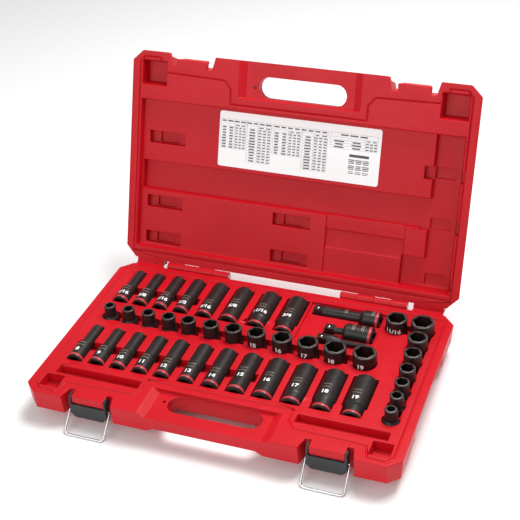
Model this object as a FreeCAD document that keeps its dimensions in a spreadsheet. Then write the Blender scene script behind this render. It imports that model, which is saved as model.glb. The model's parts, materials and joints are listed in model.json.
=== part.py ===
import FreeCAD, Part
import os
import re
import Sketcher

# A socket set in a hinged blow-moulded case. X runs left to right along the case, Y from the handle side to the
# hinges and Z up. The origin is under the middle of the base. The lid stands open on its stops, the bails hang
# from their levers to the floor, and every socket and accessory is in its seat.
# "From the front" means a distance measured back from the front edge of the rim.

SIZES = [
    # The two shells share one outline at the parting plane.
    ("case_width", 424, "left to right over the rims"),
    ("case_depth", 259, "front to back over the rims"),
    ("rim_height", 41, "floor to the base rim"),
    ("wall_height", 25.2, "outer wall of the base, above the belly"),
    ("corner_x", 13, "corner cut, along the width"),
    ("corner_front", 12.3, "front corner cut, along the depth"),
    ("corner_back", 13.8, "back corner cut, along the depth"),
    ("wall_draft", 5, "degrees, outer walls of the base"),
    ("side_step", 4.9, "depth of the long recess in each side wall"),
    ("side_step_front", 70, "front end of that recess"),
    ("side_step_back", 198, "back end of that recess"),
    ("side_step_run", 10, "length of its slanted ends"),
    ("lip_height", 2.5, "rim lip that runs straight past the side recess"),
    ("belly_inset", 14, "side wall to belly"),
    ("belly_front", 28, "front of the belly beside the handle"),
    ("belly_back_inset", 14, "back of the rim to the belly"),
    ("hand_gap_x", 90, "half width of the hand space under the handle"),
    ("hand_gap_y", 62, "front of the belly behind the handle"),
    ("belly_draft", 8, "degrees"),
    ("skin", 2.2, "moulded wall round the sealed air space"),
    ("air_drop", 22.5, "rim to the top of the sealed air space"),
    ("air_inset", 3, "skin to the air space, which leaves room for the draft"),
    ("past", 1, "how far a cutting shape runs past the face it starts from"),
    ("root", 3, "how far a solid reaches into the one it joins"),
    # Handle.
    ("grip_pan_drop", 4.9, "rim to handle top"),
    ("grip_pan_x", 66, "half length of the lowered handle top"),
    ("grip_pan_slope", 9, "run of its slanted ends"),
    ("grip_pan_back", 44, "back end of the lowered handle top"),
    ("grip_under", 5, "wall underside to handle underside"),
    ("grip_under_run", 10, "run of its slanted ends"),
    ("grip_under_x", 58, "half length of the raised handle underside"),
    ("grip_slot_x", 3, "middle of the hand slot"),
    ("grip_slot_half", 53.5, "half length of the hand slot"),
    ("grip_slot_front", 17, "front edge of the hand slot"),
    ("grip_slot_wide", 25.5, "width of the hand slot"),
    ("lock_hole_x", 55.5, "padlock hole left of the middle"),
    ("lock_hole_y", 30.6, "padlock hole from the front"),
    ("lock_hole_r", 1.8, "padlock hole radius"),
    # Rim groove.
    ("groove_half", 0.75, "half width of the groove round the rim"),
    ("groove_deep", 1.4, "its depth"),
    ("groove_inset", 10, "its distance from the side edges"),
    ("groove_back_inset", 9, "its distance from the back edge"),
    ("groove_front", 7, "its distance from the front edge"),
    ("groove_corner_x", 6, "its corner cut, along the width"),
    ("groove_corner_y", 7, "its front corner cut, along the depth"),
    ("groove_hand_x", 84, "its run beside the hand space"),
    ("groove_hand_back", 53, "its run behind the hand space"),
    ("groove_hand_front", 36, "where it turns outwards beside the handle"),
    ("groove_latch_in", 92, "its run beside the handle"),
    ("groove_latch_front", 25.9, "its run behind the latch, inner end"),
    ("groove_latch_out", 171, "its run behind the latch, outer end"),
    ("groove_latch_back", 23.9, "the same, from the front"),
    ("groove_latch_side", 176, "its run outside the latch"),
    # Hinge.
    ("hinge_behind", 5.5, "pin axis behind the rim"),
    ("knuckle_first", 71.5, "inner end of the first knuckle"),
    ("knuckle_pitch", 20.45, "from one knuckle to the next"),
    ("knuckle_r", 4.9, "knuckle radius"),
    ("knuckle_gap", 0.15, "free space at each knuckle end"),
    ("pin_r", 2.0, "hinge pin radius"),
    ("pin_play", 0.05, "radial play of a turning fit"),
    ("lid_angle", 108.7, "degrees from closed to open"),
    ("part_gap", 0.3, "free space between the closed rims"),
    ("foot_in", 160, "inner end of the stop feet"),
    ("foot_out", 196, "outer end of the stop feet"),
    ("foot_proud", 6.3, "stop foot behind the wall"),
    ("foot_high", 12, "stop foot height"),
    ("stop_gap", 0.15, "half of the gap between the open stop faces"),
    # Latches.
    ("latch_x", 135, "middle of each latch"),
    ("notch_half", 30, "half width of the latch notch at the front"),
    ("notch_half_in", 25.6, "half width at its back"),
    ("notch_deep", 15.9, "notch depth"),
    ("tab_half", 19.1, "half width of the pivot tab"),
    ("tab_front", 4.2, "front of the pivot tab"),
    ("tab_high", 9.4, "height of the pivot tab"),
    ("pivot_y", 8.2, "lever pivot from the front"),
    ("pivot_drop", 4.8, "lever pivot under the rim"),
    ("lug_r", 2.5, "lever pivot lug radius"),
    ("lug_long", 3.0, "lug length inside the tab"),
    ("lug_end_gap", 0.2, "lug end to the bottom of its hole"),
    ("lug_root", 0.5, "lug inside the cheek"),
    ("cheek_gap", 0.35, "tab to lever cheek"),
    ("cheek_thick", 2.4, "lever cheek thickness"),
    ("cheek_r", 5.6, "cheek radius round the pivot"),
    ("bail_eye_r", 3.2, "cheek radius round the bail hole"),
    ("bail_back", 0.3, "bail hole behind the lever pivot"),
    ("bail_drop", 12.2, "bail hole under the lever pivot"),
    ("plate_front", 2.6, "front face of the lever plate"),
    ("cheek_toe", 0.5, "cheek behind the plate at its toe"),
    ("plate_thick", 2.0, "lever plate thickness"),
    ("plate_low", 28, "rim to the bottom of the lever plate"),
    ("plate_high", 10.5, "rim to the top of the lever plate"),
    ("plate_half", 22.0, "half width of the lever plate"),
    ("plate_toe_half", 16.4, "half width at its cut lower corners"),
    ("wire_r", 1.15, "bail wire radius"),
    ("wire_play", 0.05, "bail wire in the lever, radial"),
    ("bail_half", 23.35, "bail leg from the latch middle"),
    ("bail_tip_gap", 0.1, "end of the wire to the inner face of the cheek"),
    ("bail_long", 31.7, "bail pivot to crossbar"),
    ("bail_corner", 5.0, "bail corner radius"),
    ("bail_eye_bend", 1.35, "bend radius at the pivot ends"),
    ("bail_rest", 44.9, "degrees the hanging bail stands forward of straight down"),
    ("catch_half", 16.5, "half width of the lid catch"),
    ("catch_front", 6.9, "front of the lid catch"),
    ("catch_rise", 12.8, "rim to the catch seat, lid closed"),
    ("catch_lip", 2.2, "catch lip over its seat"),
    ("catch_lip_back", 10.8, "back of the catch lip"),
    # Lid.
    ("flange", 7, "lid edge thickness"),
    ("flange_draft", 10, "degrees"),
    ("lid_deep", 24, "outer depth of the lid"),
    ("lid_inset", 6, "lid flange to lid belly, sides and back"),
    ("lid_front_inset", 5, "lid flange to lid belly, front"),
    ("lid_belly_draft", 15, "degrees"),
    ("lid_grip_side", 2, "lid handle beyond the hand space, each side"),
    ("lid_grip_front", 1.5, "lid handle from the front edge"),
    ("lid_grip_back", 4, "lid handle behind the hand space"),
    ("lid_grip_high", 17, "lid handle outer height above the rim"),
    ("field_inset", 13, "side edge to the lid field"),
    ("field_front", 58, "front of the lid field"),
    ("field_back_inset", 15, "back of the rim to the lid field"),
    ("field_deep", 8.2, "lid field below the rim"),
    ("field_draft", 10, "degrees"),
    ("channel_front", 133, "front of the deep channel over the short sockets"),
    ("channel_back", 173, "its back"),
    ("channel_deep", 16.5, "its depth below the rim"),
    ("column_x", 163, "left edge of the deep column at the right"),
    ("column_wide_x", 135, "left edge where it widens at the back"),
    ("column_wide_front", 204, "front of the wide part"),
    ("panel_left", 42, "accessory panel, left edge"),
    ("panel_right", 137, "accessory panel, right edge"),
    ("panel_deep", 10.5, "accessory panel below the rim"),
    ("panel_mid_deep", 12, "its middle step"),
    ("panel_mid_front", 186, "front of the middle step"),
    ("panel_mid_back", 213, "back of the middle step"),
    ("dent_half_x", 23.5, "half length of the moulded rests in the lid"),
    ("dent_half_y", 7.6, "half width of those rests"),
    ("dent_deep", 19.6, "their depth below the rim"),
    ("dent_step", 3.2, "height of the step inside each rest"),
    ("dent_floor_half_x", 11.75, "half length of the deep middle of a rest"),
    ("dent_floor_inset", 1, "long wall of a rest to its deep middle"),
    ("panel_lap", 4, "panel beyond the channel and the column it meets"),
    ("lid_pocket_in", 167, "lid corner pocket, inner edge"),
    ("lid_pocket_out", 199, "lid corner pocket, outer edge"),
    ("lid_pocket_front", 11, "lid corner pocket, front edge"),
    ("lid_pocket_back", 41, "lid corner pocket, back edge"),
    ("lid_pocket_deep", 15.5, "lid corner pocket depth"),
    ("label_x", 1.6, "middle of the size label"),
    ("label_front", 62.5, "front edge of the size label"),
    ("label_wide", 200, "size label width"),
    ("label_high", 67, "size label height"),
    ("label_thick", 0.25, "size label thickness"),
    # Pockets of the base deck.
    ("pocket_draft", 6, "degrees"),
    ("corner_pocket_in", 176, "corner pocket, inner edge"),
    ("corner_pocket_out", 198, "corner pocket, outer edge"),
    ("corner_pocket_front", 12.5, "corner pocket, front edge"),
    ("corner_pocket_back", 33, "corner pocket, back edge"),
    ("corner_pocket_deep", 12, "corner pocket depth"),
    ("front_trough_in", 90, "front trough, inner edge"),
    ("front_trough_out", 190, "front trough, outer edge"),
    ("front_trough_front", 36.5, "front trough, front edge"),
    ("front_trough_back", 49, "front trough, back edge"),
    ("front_trough_deep", 10, "front trough depth"),
    ("finger_left", -190, "left end of the finger channels"),
    ("finger_right", 29, "right end of the front finger channel"),
    ("finger_front", 83, "front finger channel, front edge"),
    ("finger_wide", 14.5, "finger channel width"),
    ("finger_deep", 9.5, "finger channel depth"),
    ("rear_finger_right", -87, "right end of the rear finger channel"),
    ("rear_finger_front", 196.5, "rear finger channel, front edge"),
    # Sockets.
    ("drive_flats", 9.53, "three-eighths square drive"),
    ("drive_play", 0.13, "square hole over square tang"),
    ("drive_deep", 10.5, "square hole depth"),
    ("drive_od", 18.4, "drive end of the small sockets"),
    ("neck_od", 22.4, "drive end of the large sockets"),
    ("large_from", 23.9, "nose diameter from which the drive end is narrower"),
    ("deep_long", 62.5, "deep socket length"),
    ("short_long", 28.8, "short socket length"),
    ("deep_neck", 25, "deep drive end length"),
    ("large_neck", 13, "deep drive end length of the large sockets"),
    ("short_neck", 12, "short drive end length"),
    ("neck_run", 3, "length of the taper between the two diameters"),
    ("edge_cut", 0.8, "end chamfer of a socket"),
    ("band_from", 1.8, "drive end to colour band"),
    ("band_wide", 3.0, "colour band width"),
    ("band_deep", 0.35, "colour band groove"),
    ("hex_play", 0.12, "hexagon over its nominal size"),
    ("hex_share", 1.5, "hexagon depth over its nominal size"),
    ("bore_step", 0.9, "hexagon flat to through bore"),
    ("deep_top", 6.6, "deep socket top above the rim"),
    ("deep_front", 62, "drive ends of the metric deep row"),
    ("rear_front", 178.5, "drive ends of the inch deep row"),
    ("short_top", 14.8, "short socket top above the rim"),
    ("short_y", 150.2, "metric short row from the front"),
    ("seat_side", 0.6, "seat over socket, radial"),
    ("seat_floor", 0.4, "socket over seat floor"),
    ("seat_step", 1, "seat before a step in an accessory"),
    ("seat_wall", 0.5, "least height of the straight mouth over a round seat"),
    ("seat_end", 1.3, "seat beyond each socket end"),
    ("trough_half", 8, "half width of the troughs that join the short seats"),
    ("trough_deep", 7.5, "depth of those troughs"),
    # Accessories.
    ("tool_drop", 1.5, "accessory axis under the rim"),
    ("recess_left", 44, "accessory recess, left edge"),
    ("recess_right", 134, "accessory recess, right edge"),
    ("recess_front", 168.5, "accessory recess, front edge"),
    ("recess_back", 242, "accessory recess, back edge"),
    ("recess_deep", 3, "accessory recess depth"),
    ("tang_long", 10.5, "square tang length"),
    ("ball_r", 2.0, "detent ball radius"),
    ("ball_proud", 0.7, "detent ball over the tang"),
    ("ball_play", 0.04, "detent ball in its hole, radial"),
    ("ball_room", 0.6, "free space under a detent ball"),
    ("ball_from_end", 5, "detent ball from the tang end"),
    ("bar_x", 50, "left end of the extension bar"),
    ("bar_y", 229.6, "extension bar from the front"),
    ("bar_long", 80, "extension bar length"),
    ("bar_shank_r", 6.25, "extension bar shank radius"),
    ("bar_head_r", 10.25, "extension bar head radius"),
    ("bar_head_long", 19, "extension bar head length"),
    ("bar_flare", 5, "shank to head taper"),
    ("joint_x", 73, "left end of the universal joint"),
    ("joint_y", 198.5, "universal joint from the front"),
    ("joint_long", 57, "universal joint length"),
    ("joint_head_r", 11, "universal joint head radius"),
    ("joint_head_long", 34, "universal joint head length"),
    ("joint_ball_r", 7.5, "ball of the universal joint"),
    ("joint_ball_play", 0.1, "ball in the head, radial"),
    ("joint_ball_in", 4, "ball middle inside the head mouth"),
    ("joint_neck_r", 4, "neck behind the ball"),
    ("joint_pin_r", 1.5, "cross pin radius"),
    ("joint_pin_short", 0.3, "cross pin end below the head surface"),
    ("joint_cut_r", 2, "chamfer of the head mouth, radial"),
    ("joint_cut_long", 3, "chamfer of the head mouth, along the axis"),
    ("adapter_x", 70, "left end of the hex shank adapter"),
    ("adapter_y", 178.8, "hex shank adapter from the front"),
    ("adapter_long", 56, "hex shank adapter length"),
    ("adapter_collar_r", 7, "adapter collar radius"),
    ("adapter_collar_long", 7, "adapter collar length"),
    ("adapter_seat_long", 6, "collar seat beyond the collar"),
    ("adapter_seat_r", 5.25, "radius that the shank seat is made for"),
    ("adapter_flare", 0.6, "collar cone over the shank flats"),
    ("shank_flats", 6.35, "quarter-inch hex shank"),
    ("shank_long", 28, "hex shank length"),
    ("shank_groove_from", 9, "hex shank end to its groove"),
    ("shank_groove_wide", 3.5, "hex shank groove width"),
    ("shank_groove_deep", 0.6, "hex shank groove depth"),
]

# Each size: key, name in the node, across flats, nose diameter, x of the deep socket, x and y of the short socket.
METRIC = [
    ("a08", "8mm", 8, 13.6, -180.5, -177.3),
    ("a09", "9mm", 9, 14.6, -153.7, -153.0),
    ("a10", "10mm", 10, 15.4, -127.3, -127.4),
    ("a11", "11mm", 11, 16.2, -100.4, -101.8),
    ("a12", "12mm", 12, 17.4, -73.9, -76.7),
    ("a13", "13mm", 13, 18.8, -44.9, -48.8),
    ("a14", "14mm", 14, 20.0, -16.3, -21.2),
    ("a15", "15mm", 15, 21.2, 13.1, 6.9),
    ("a16", "16mm", 16, 23.0, 43.6, 37.5),
    ("a17", "17mm", 17, 24.0, 75.9, 68.0),
    ("a18", "18mm", 18, 25.2, 109.5, 99.7),
    ("a19", "19mm", 19, 26.8, 143.1, 133.5),
]
INCH = [
    ("b05", "5_16in", 7.94, 13.5, -179.6, 184.8, 68.1),
    ("b06", "3_8in", 9.53, 14.8, -154.3, 184.9, 90.9),
    ("b07", "7_16in", 11.11, 16.3, -128.1, 184.9, 113.5),
    ("b08", "1_2in", 12.7, 18.2, -101.5, 184.5, 137.5),
    ("b09", "9_16in", 14.29, 20.2, -72.0, 183.8, 164.8),
    ("b10", "5_8in", 15.88, 22.8, -41.1, 182.5, 192.9),
    ("b11", "11_16in", 17.46, 24.4, -7.0, 151.3, 220.6),
    ("b12", "3_4in", 19.05, 26.8, 26.9, 181.1, 222.0),
]

# The moulded rests in the lid, as their middles: x, y from the front.
RESTS = [(-166, 105), (-166, 186), (-166, 232), (0, 186), (0, 232), (178, 105), (178, 165), (178, 232)]

doc = FreeCAD.newDocument("socket_set_in_case")
sheet = doc.addObject("Spreadsheet::Sheet", "Sizes")
names = set()
nodes = []


def put_size(name, value, what=""):
    """Write one size into the next row of the sheet and give it its alias."""
    row = len(names) + 1
    sheet.set(f"A{row}", name)
    sheet.set(f"B{row}", str(value))
    sheet.set(f"C{row}", what)
    sheet.setAlias(f"B{row}", name)
    names.add(name)


for entry in SIZES:
    put_size(*entry)
for key, label, flats, nose, deep_x, *short in METRIC + INCH:
    put_size(f"flats_{key}", flats, f"{label} across flats")
    put_size(f"nose_{key}", nose, f"{label} nose diameter")
    put_size(f"deep_x_{key}", deep_x, f"{label} deep socket")
    put_size(f"short_x_{key}", short[0], f"{label} short socket")
    if len(short) > 1:
        put_size(f"short_y_{key}", short[1], f"{label} short socket from the front")
for index, (x, y) in enumerate(RESTS):
    put_size(f"rest_x_{index}", x, f"middle of lid rest {index}")
    put_size(f"rest_y_{index}", y, f"middle of lid rest {index} from the front")
doc.recompute()


def bound(expression):
    """The expression with each size name pointing into the sheet."""
    return re.sub(r"[a-z]\w+", lambda m: f"Sizes.{m[0]}" if m[0] in names else m[0], str(expression))


def number(expression):
    """The present value of an expression, in millimetres or degrees."""
    result = sheet.evalExpression(bound(expression))
    return float(getattr(result, "Value", result))


def tie(target, **properties):
    """Bind properties of an object to expressions over the sheet."""
    for path, expression in properties.items():
        target.setExpression(path.replace("__", "."), bound(expression))


def from_front(distance):
    """Y of a distance measured back from the front edge of the rim."""
    return f"(({distance}) - case_depth / 2)"


# ---- sketches and features -------------------------------------------------------------------------------------

PLANES = {"top": "XY_Plane", "front": "XZ_Plane", "side": "YZ_Plane"}


def new_body(name):
    return doc.addObject("PartDesign::Body", name)


def new_sketch(body, plane, name, x=0, y=0, z=0):
    """A sketch on an origin plane, its own origin moved by x, y and z in the sketch's axes."""
    drawing = body.newObject("Sketcher::SketchObject", name)
    origin = next(item for item in body.Origin.OriginFeatures if item.Role == PLANES[plane])
    drawing.AttachmentSupport = (origin, "")
    drawing.MapMode = "FlatFace"
    tie(drawing, AttachmentOffset__Base__x=x, AttachmentOffset__Base__y=y, AttachmentOffset__Base__z=z)
    return drawing


def polygon(drawing, points):
    """A closed outline through points given as pairs of expressions."""
    first = drawing.GeometryCount
    spots = [FreeCAD.Vector(number(x), number(y), 0) for x, y in points]
    count = len(spots)
    for place in range(count):
        drawing.addGeometry(Part.LineSegment(spots[place], spots[(place + 1) % count]), False)
    for place in range(count):
        drawing.addConstraint(Sketcher.Constraint("Coincident", first + place, 2, first + (place + 1) % count, 1))
    for place, (x, y) in enumerate(points):
        for kind, expression, value in (("DistanceX", x, spots[place].x), ("DistanceY", y, spots[place].y)):
            index = drawing.addConstraint(Sketcher.Constraint(kind, -1, 1, first + place, 1, value))
            drawing.setExpression(f"Constraints[{index}]", bound(expression))


def circle(drawing, radius, x=0, y=0):
    shape = Part.Circle(FreeCAD.Vector(number(x), number(y), 0), FreeCAD.Vector(0, 0, 1), number(radius))
    ring = drawing.addGeometry(shape, False)
    size = drawing.addConstraint(Sketcher.Constraint("Radius", ring, number(radius)))
    drawing.setExpression(f"Constraints[{size}]", bound(radius))
    for kind, expression in (("DistanceX", x), ("DistanceY", y)):
        index = drawing.addConstraint(Sketcher.Constraint(kind, -1, 1, ring, 3, number(expression)))
        drawing.setExpression(f"Constraints[{index}]", bound(expression))


def rectangle(drawing, left, right, front, back):
    polygon(drawing, [(left, front), (right, front), (right, back), (left, back)])


def extrude(body, kind, drawing, name, length, draft=0, down=False):
    """A Pad or Pocket of a sketch. A draft narrows the shape away from its sketch."""
    feature = body.newObject(f"PartDesign::{kind}", name)
    feature.Profile = drawing
    feature.Reversed = down
    tie(feature, Length=length)
    if draft:
        tie(feature, TaperAngle=f"-1 * ({draft})")
    drawing.Visibility = False
    return feature


def revolve(body, drawing, name):
    feature = body.newObject("PartDesign::Revolution", name)
    feature.Profile = drawing
    feature.ReferenceAxis = (drawing, ["V_Axis"])
    feature.Angle = 360
    return feature


# ---- plain solids ----------------------------------------------------------------------------------------------

TURNS = {
    "x": FreeCAD.Rotation(FreeCAD.Vector(0, 1, 0), 90),
    "y": FreeCAD.Rotation(FreeCAD.Vector(1, 0, 0), -90),
    "z": FreeCAD.Rotation(),
}


def block(name, left, right, front, back, low, high):
    """A box between six planes."""
    solid = doc.addObject("Part::Box", name)
    tie(solid, Length=f"({right}) - ({left})", Width=f"({back}) - ({front})", Height=f"({high}) - ({low})")
    tie(solid, Placement__Base__x=left, Placement__Base__y=front, Placement__Base__z=low)
    return solid


def rod(name, axis, radius, length, x=0, y=0, z=0):
    """A cylinder that starts at a point and runs along +X, +Y or +Z."""
    solid = doc.addObject("Part::Cylinder", name)
    solid.Placement = FreeCAD.Placement(FreeCAD.Vector(), TURNS[axis])
    tie(solid, Radius=radius, Height=length)
    tie(solid, Placement__Base__x=x, Placement__Base__y=y, Placement__Base__z=z)
    return solid


def fuse(name, solids):
    joined = doc.addObject("Part::MultiFuse", name)
    joined.Shapes = solids
    return joined


def cut(name, base, tool):
    result = doc.addObject("Part::Cut", name)
    result.Base = base
    result.Tool = tool
    return result


def keep(solid, label):
    """Mark an object as a sub-part, under the name of its node."""
    solid.Label = label
    nodes.append(solid)
    return solid


def place(solid, axis, x, y, z):
    """Lay a sub-part that was made along its own Z along another axis, from a starting point."""
    solid.Placement = FreeCAD.Placement(FreeCAD.Vector(), TURNS[axis])
    tie(solid, Placement__Base__x=x, Placement__Base__y=y, Placement__Base__z=z)


def mirrored(points):
    """The outline that the points of its right half make with their mirror images."""
    return list(points) + [(f"-1 * ({x})", y) for x, y in reversed(points)]


# ---- shells ----------------------------------------------------------------------------------------------------

DECK = "rim_height"
PARTING = "(rim_height + part_gap)"
LEDGE = "(rim_height - wall_height)"
MIDDLE = "case_depth / -2"
HINGE_Y = from_front("case_depth + hinge_behind")
PIVOT_Y = from_front("pivot_y")
PIVOT_Z = "(rim_height - pivot_drop)"
EDGE = "case_width / 2"
FIELD_X = f"({EDGE} - field_inset)"
FIELD_BACK = "(case_depth - field_back_inset)"
BELLY_BACK = "(case_depth - belly_back_inset)"
CATCH_SEAT = "(rim_height + catch_rise)"
PLATE_LOW = "(rim_height - plate_low)"
PLATE_HIGH = "(rim_height - plate_high)"
SIDES = ((-1, "left"), (1, "right"))


def rim_outline(step):
    """The outer outline of a shell, with or without the recess in its sides."""
    right = [
        (f"{EDGE} - corner_x", 0),
        (EDGE, "corner_front"),
        (EDGE, "side_step_front"),
        (f"{EDGE} - {step}", "side_step_front + side_step_run"),
        (f"{EDGE} - {step}", "side_step_back - side_step_run"),
        (EDGE, "side_step_back"),
        (EDGE, "case_depth - corner_back"),
        (f"{EDGE} - corner_x", "case_depth"),
    ]
    if step == 0:
        right = [point for index, point in enumerate(right) if index not in (2, 3, 4, 5)]
    return mirrored(right)


def belly_outline(inset, front, back, front_inner):
    """The outline of a belly that leaves room for a hand behind the handle."""
    return mirrored([
        ("hand_gap_x", front_inner),
        ("hand_gap_x", front),
        (f"{EDGE} - {inset} - corner_x / 2", front),
        (f"{EDGE} - {inset}", f"{front} + corner_front"),
        (f"{EDGE} - {inset}", f"{back} - corner_back"),
        (f"{EDGE} - {inset} - corner_x", back),
    ])


def groove_band(drawing):
    """Two nested outlines, a groove's width apart, that follow the rim inside the edge."""
    path = [
        ("groove_hand_x", "groove_hand_back", -1, -1),
        ("groove_hand_x", "groove_hand_front", -1, -1),
        ("groove_latch_in", "groove_latch_front", -1, -1),
        ("groove_latch_out", "groove_latch_back", -1, -1),
        ("groove_latch_side", "groove_front", -1, -1),
        (f"{EDGE} - groove_inset - groove_corner_x", "groove_front", 1, -1),
        (f"{EDGE} - groove_inset", "groove_front + groove_corner_y", 1, -1),
        (f"{EDGE} - groove_inset", "case_depth - groove_back_inset", 1, 1),
    ]
    for sign in (1, -1):
        points = [(f"{x} + {sign * right} * groove_half", f"{y} + {sign * back} * groove_half")
                  for x, y, right, back in path]
        polygon(drawing, mirrored(points))


def cut_handle(body, face, way):
    """Lower the handle between the shells. way is 1 in the base, whose handle lies under its rim, and -1 in the lid."""
    pan = new_sketch(body, "front", f"{body.Name}_pan_sketch", z="case_depth / 2 + past")
    low = f"{face} - {way} * grip_pan_drop"
    polygon(pan, mirrored([("grip_pan_x", low), ("grip_pan_x + grip_pan_slope", f"{face} + {way} * 0.01")]))
    extrude(body, "Pocket", pan, f"{body.Name}_pan", "grip_pan_back + past")


def notch_outline(drawing):
    for sign in (-1, 1):
        middle = f"{sign} * latch_x"
        polygon(drawing, [
            (f"{middle} - notch_half", "-1 * past"),
            (f"{middle} + notch_half", "-1 * past"),
            (f"{middle} + notch_half_in", "notch_deep"),
            (f"{middle} - notch_half_in", "notch_deep"),
        ])


def knuckles(owner, face_low, face_high):
    """Two knuckles of one shell on each side, each a rod with a web to the wall."""
    solids = []
    for sign, side in SIDES:
        for turn in (0, 2):
            index = turn + (1 if owner == "lid" else 0)
            inner = f"knuckle_first + {index} * knuckle_pitch + knuckle_gap"
            long = "knuckle_pitch - 2 * knuckle_gap"
            left = inner if sign > 0 else f"-1 * ({inner}) - ({long})"
            name = f"{owner}_knuckle_{side}_{index}"
            solids.append(rod(name, "x", "knuckle_r", long, left, HINGE_Y, DECK))
            solids.append(block(f"{name}_web", left, f"{left} + {long}", from_front("case_depth - root"), HINGE_Y,
                                face_low, face_high))
    return solids


def knuckle_bores(owner, radius):
    """The pin holes of one shell's knuckles."""
    return [
        rod(f"{owner}_pin_hole_{side}", "x", radius, "4 * knuckle_pitch + 2 * root",
            f"{sign} * (knuckle_first + 2 * knuckle_pitch) - 2 * knuckle_pitch - root", HINGE_Y, DECK)
        for sign, side in SIDES
    ]


def stop_feet(body, way):
    """The two feet behind the back wall, whose slanted faces meet when the lid is open."""
    for sign, side in SIDES:
        start = "foot_in" if sign > 0 else "-1 * foot_out"
        foot = new_sketch(body, "side", f"{body.Name}_foot_{side}_sketch", z=start)
        back = "case_depth + foot_proud"
        reach = "(foot_proud - hinge_behind)"
        half = "(lid_angle / 2)"
        slant = f"(stop_gap + {reach} * sin({half} * 1deg)) / cos({half} * 1deg)"
        polygon(foot, [
            (from_front("case_depth - root"), f"rim_height - {way} * part_gap"),
            (HINGE_Y, f"rim_height - {way} * part_gap"),
            (from_front(back), f"rim_height - {way} * {slant}"),
            (from_front(back), f"rim_height - {way} * foot_high"),
            (from_front("case_depth - root"), f"rim_height - {way} * foot_high"),
        ])
        extrude(body, "Pad", foot, f"{body.Name}_foot_{side}", "foot_out - foot_in")


def hand_slot(owner, low, high):
    """The stadium-shaped slot that the fingers go through, and the padlock hole."""
    radius = "grip_slot_wide / 2"
    middle = from_front("grip_slot_front + grip_slot_wide / 2")
    ends = f"(grip_slot_half - {radius})"
    tall = f"({high}) - ({low})"
    return [
        block(f"{owner}_slot", f"grip_slot_x - {ends}", f"grip_slot_x + {ends}", from_front("grip_slot_front"),
              from_front("grip_slot_front + grip_slot_wide"), low, high),
        rod(f"{owner}_slot_left", "z", radius, tall, f"grip_slot_x - {ends}", middle, low),
        rod(f"{owner}_slot_right", "z", radius, tall, f"grip_slot_x + {ends}", middle, low),
        rod(f"{owner}_lock_hole", "z", "lock_hole_r", tall, "-1 * lock_hole_x", from_front("lock_hole_y"), low),
    ]


# ---- where the contents lie ------------------------------------------------------------------------------------

def drive_radius(key):
    """Half the drive end's diameter: the small ends share one, the large ones another, the rest have no step."""
    nose = number(f"nose_{key}")
    if nose < number("drive_od + 0.5"):
        return "drive_od / 2"
    if nose >= number("large_from"):
        return "neck_od / 2"
    return f"nose_{key} / 2"


def neck_length(key, kind):
    """The large deep sockets have a shorter drive end than the others."""
    return "large_neck" if kind == "deep" and number(f"nose_{key}") >= number("large_from") else f"{kind}_neck"


def widest(key):
    """The larger of a deep socket's two radii."""
    return drive_radius(key) if number(drive_radius(key)) > number(f"nose_{key} / 2") else f"nose_{key} / 2"


def deep_axis(key):
    return f"(rim_height + deep_top - {widest(key)})"


def short_place(key):
    """X and Y of a short socket."""
    y = from_front(f"short_y_{key}") if f"short_y_{key}" in names else from_front("short_y")
    return f"short_x_{key}", y


def deep_seats():
    """A round-bottomed seat under each deep socket, wide at its drive end and as narrow as its nose."""
    solids = []
    for group, front in ((METRIC, "deep_front"), (INCH, "rear_front")):
        for key, label, *_ in group:
            x = f"deep_x_{key}"
            neck = neck_length(key, "deep")
            for part, radius, start, end in (
                ("drive", drive_radius(key), f"{front} - seat_end", f"{front} + {neck} + neck_run"),
                ("nose", f"nose_{key} / 2", f"{front} + {neck}", f"{front} + deep_long + seat_end"),
            ):
                wide = f"({radius} + seat_side)"
                name = f"seat_{key}_{part}"
                long = f"({end}) - ({start})"
                solids.append(rod(name, "y", wide, long, x, from_front(start), deep_axis(key)))
                low = f"min({deep_axis(key)}; rim_height - seat_wall)"
                solids.append(block(f"{name}_mouth", f"{x} - {wide}", f"{x} + {wide}", from_front(start),
                                    from_front(end), low, "rim_height + past"))
    return solids


def short_seats():
    """A round hole under each short socket, and the troughs that run from one to the next."""
    solids = []
    for key, label, *_ in METRIC + INCH:
        x, y = short_place(key)
        radius = f"({widest(key)} + seat_side)"
        low = "(rim_height + short_top - short_long - seat_floor)"
        solids.append(rod(f"seat_{key}_short", "z", radius, f"rim_height + past - {low}", x, y, low))
    low = "rim_height - trough_deep"
    high = "rim_height + past"
    row = from_front("short_y")
    solids.append(block("row_trough", "short_x_a08", "short_x_a19", f"{row} - trough_half", f"{row} + trough_half",
                        low, high))
    solids.append(block("column_trough", "short_x_b06 - trough_half", "short_x_b06 + trough_half",
                        from_front("short_y_b05"), from_front("short_y_b12"), low, high))
    solids.append(block("corner_trough", "short_x_b11", "short_x_b12", f"{from_front('short_y_b11')} - trough_half",
                        f"{from_front('short_y_b11')} + trough_half", low, high))
    return solids


TOOL_Z = "(rim_height - tool_drop)"
TANG_FLATS = "(drive_flats - drive_play)"
TOOLS = [
    ("bar", "bar_x - seat_end", "bar_x + bar_long - bar_head_long - bar_flare", "bar_shank_r"),
    ("bar_head", "bar_x + bar_long - bar_head_long - bar_flare", "bar_x + bar_long + seat_end", "bar_head_r"),
    ("joint", "joint_x - seat_end", "joint_x + joint_long - joint_head_long - seat_step", "joint_ball_r"),
    ("joint_head", "joint_x + joint_long - joint_head_long - seat_step", "joint_x + joint_long + seat_end",
     "joint_head_r"),
    ("adapter", "adapter_x - seat_end", "adapter_x + tang_long + adapter_collar_long + adapter_seat_long",
     "adapter_collar_r"),
    ("adapter_shank", "adapter_x + tang_long + adapter_collar_long + adapter_seat_long",
     "adapter_x + adapter_long + seat_end", "adapter_seat_r"),
]


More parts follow.
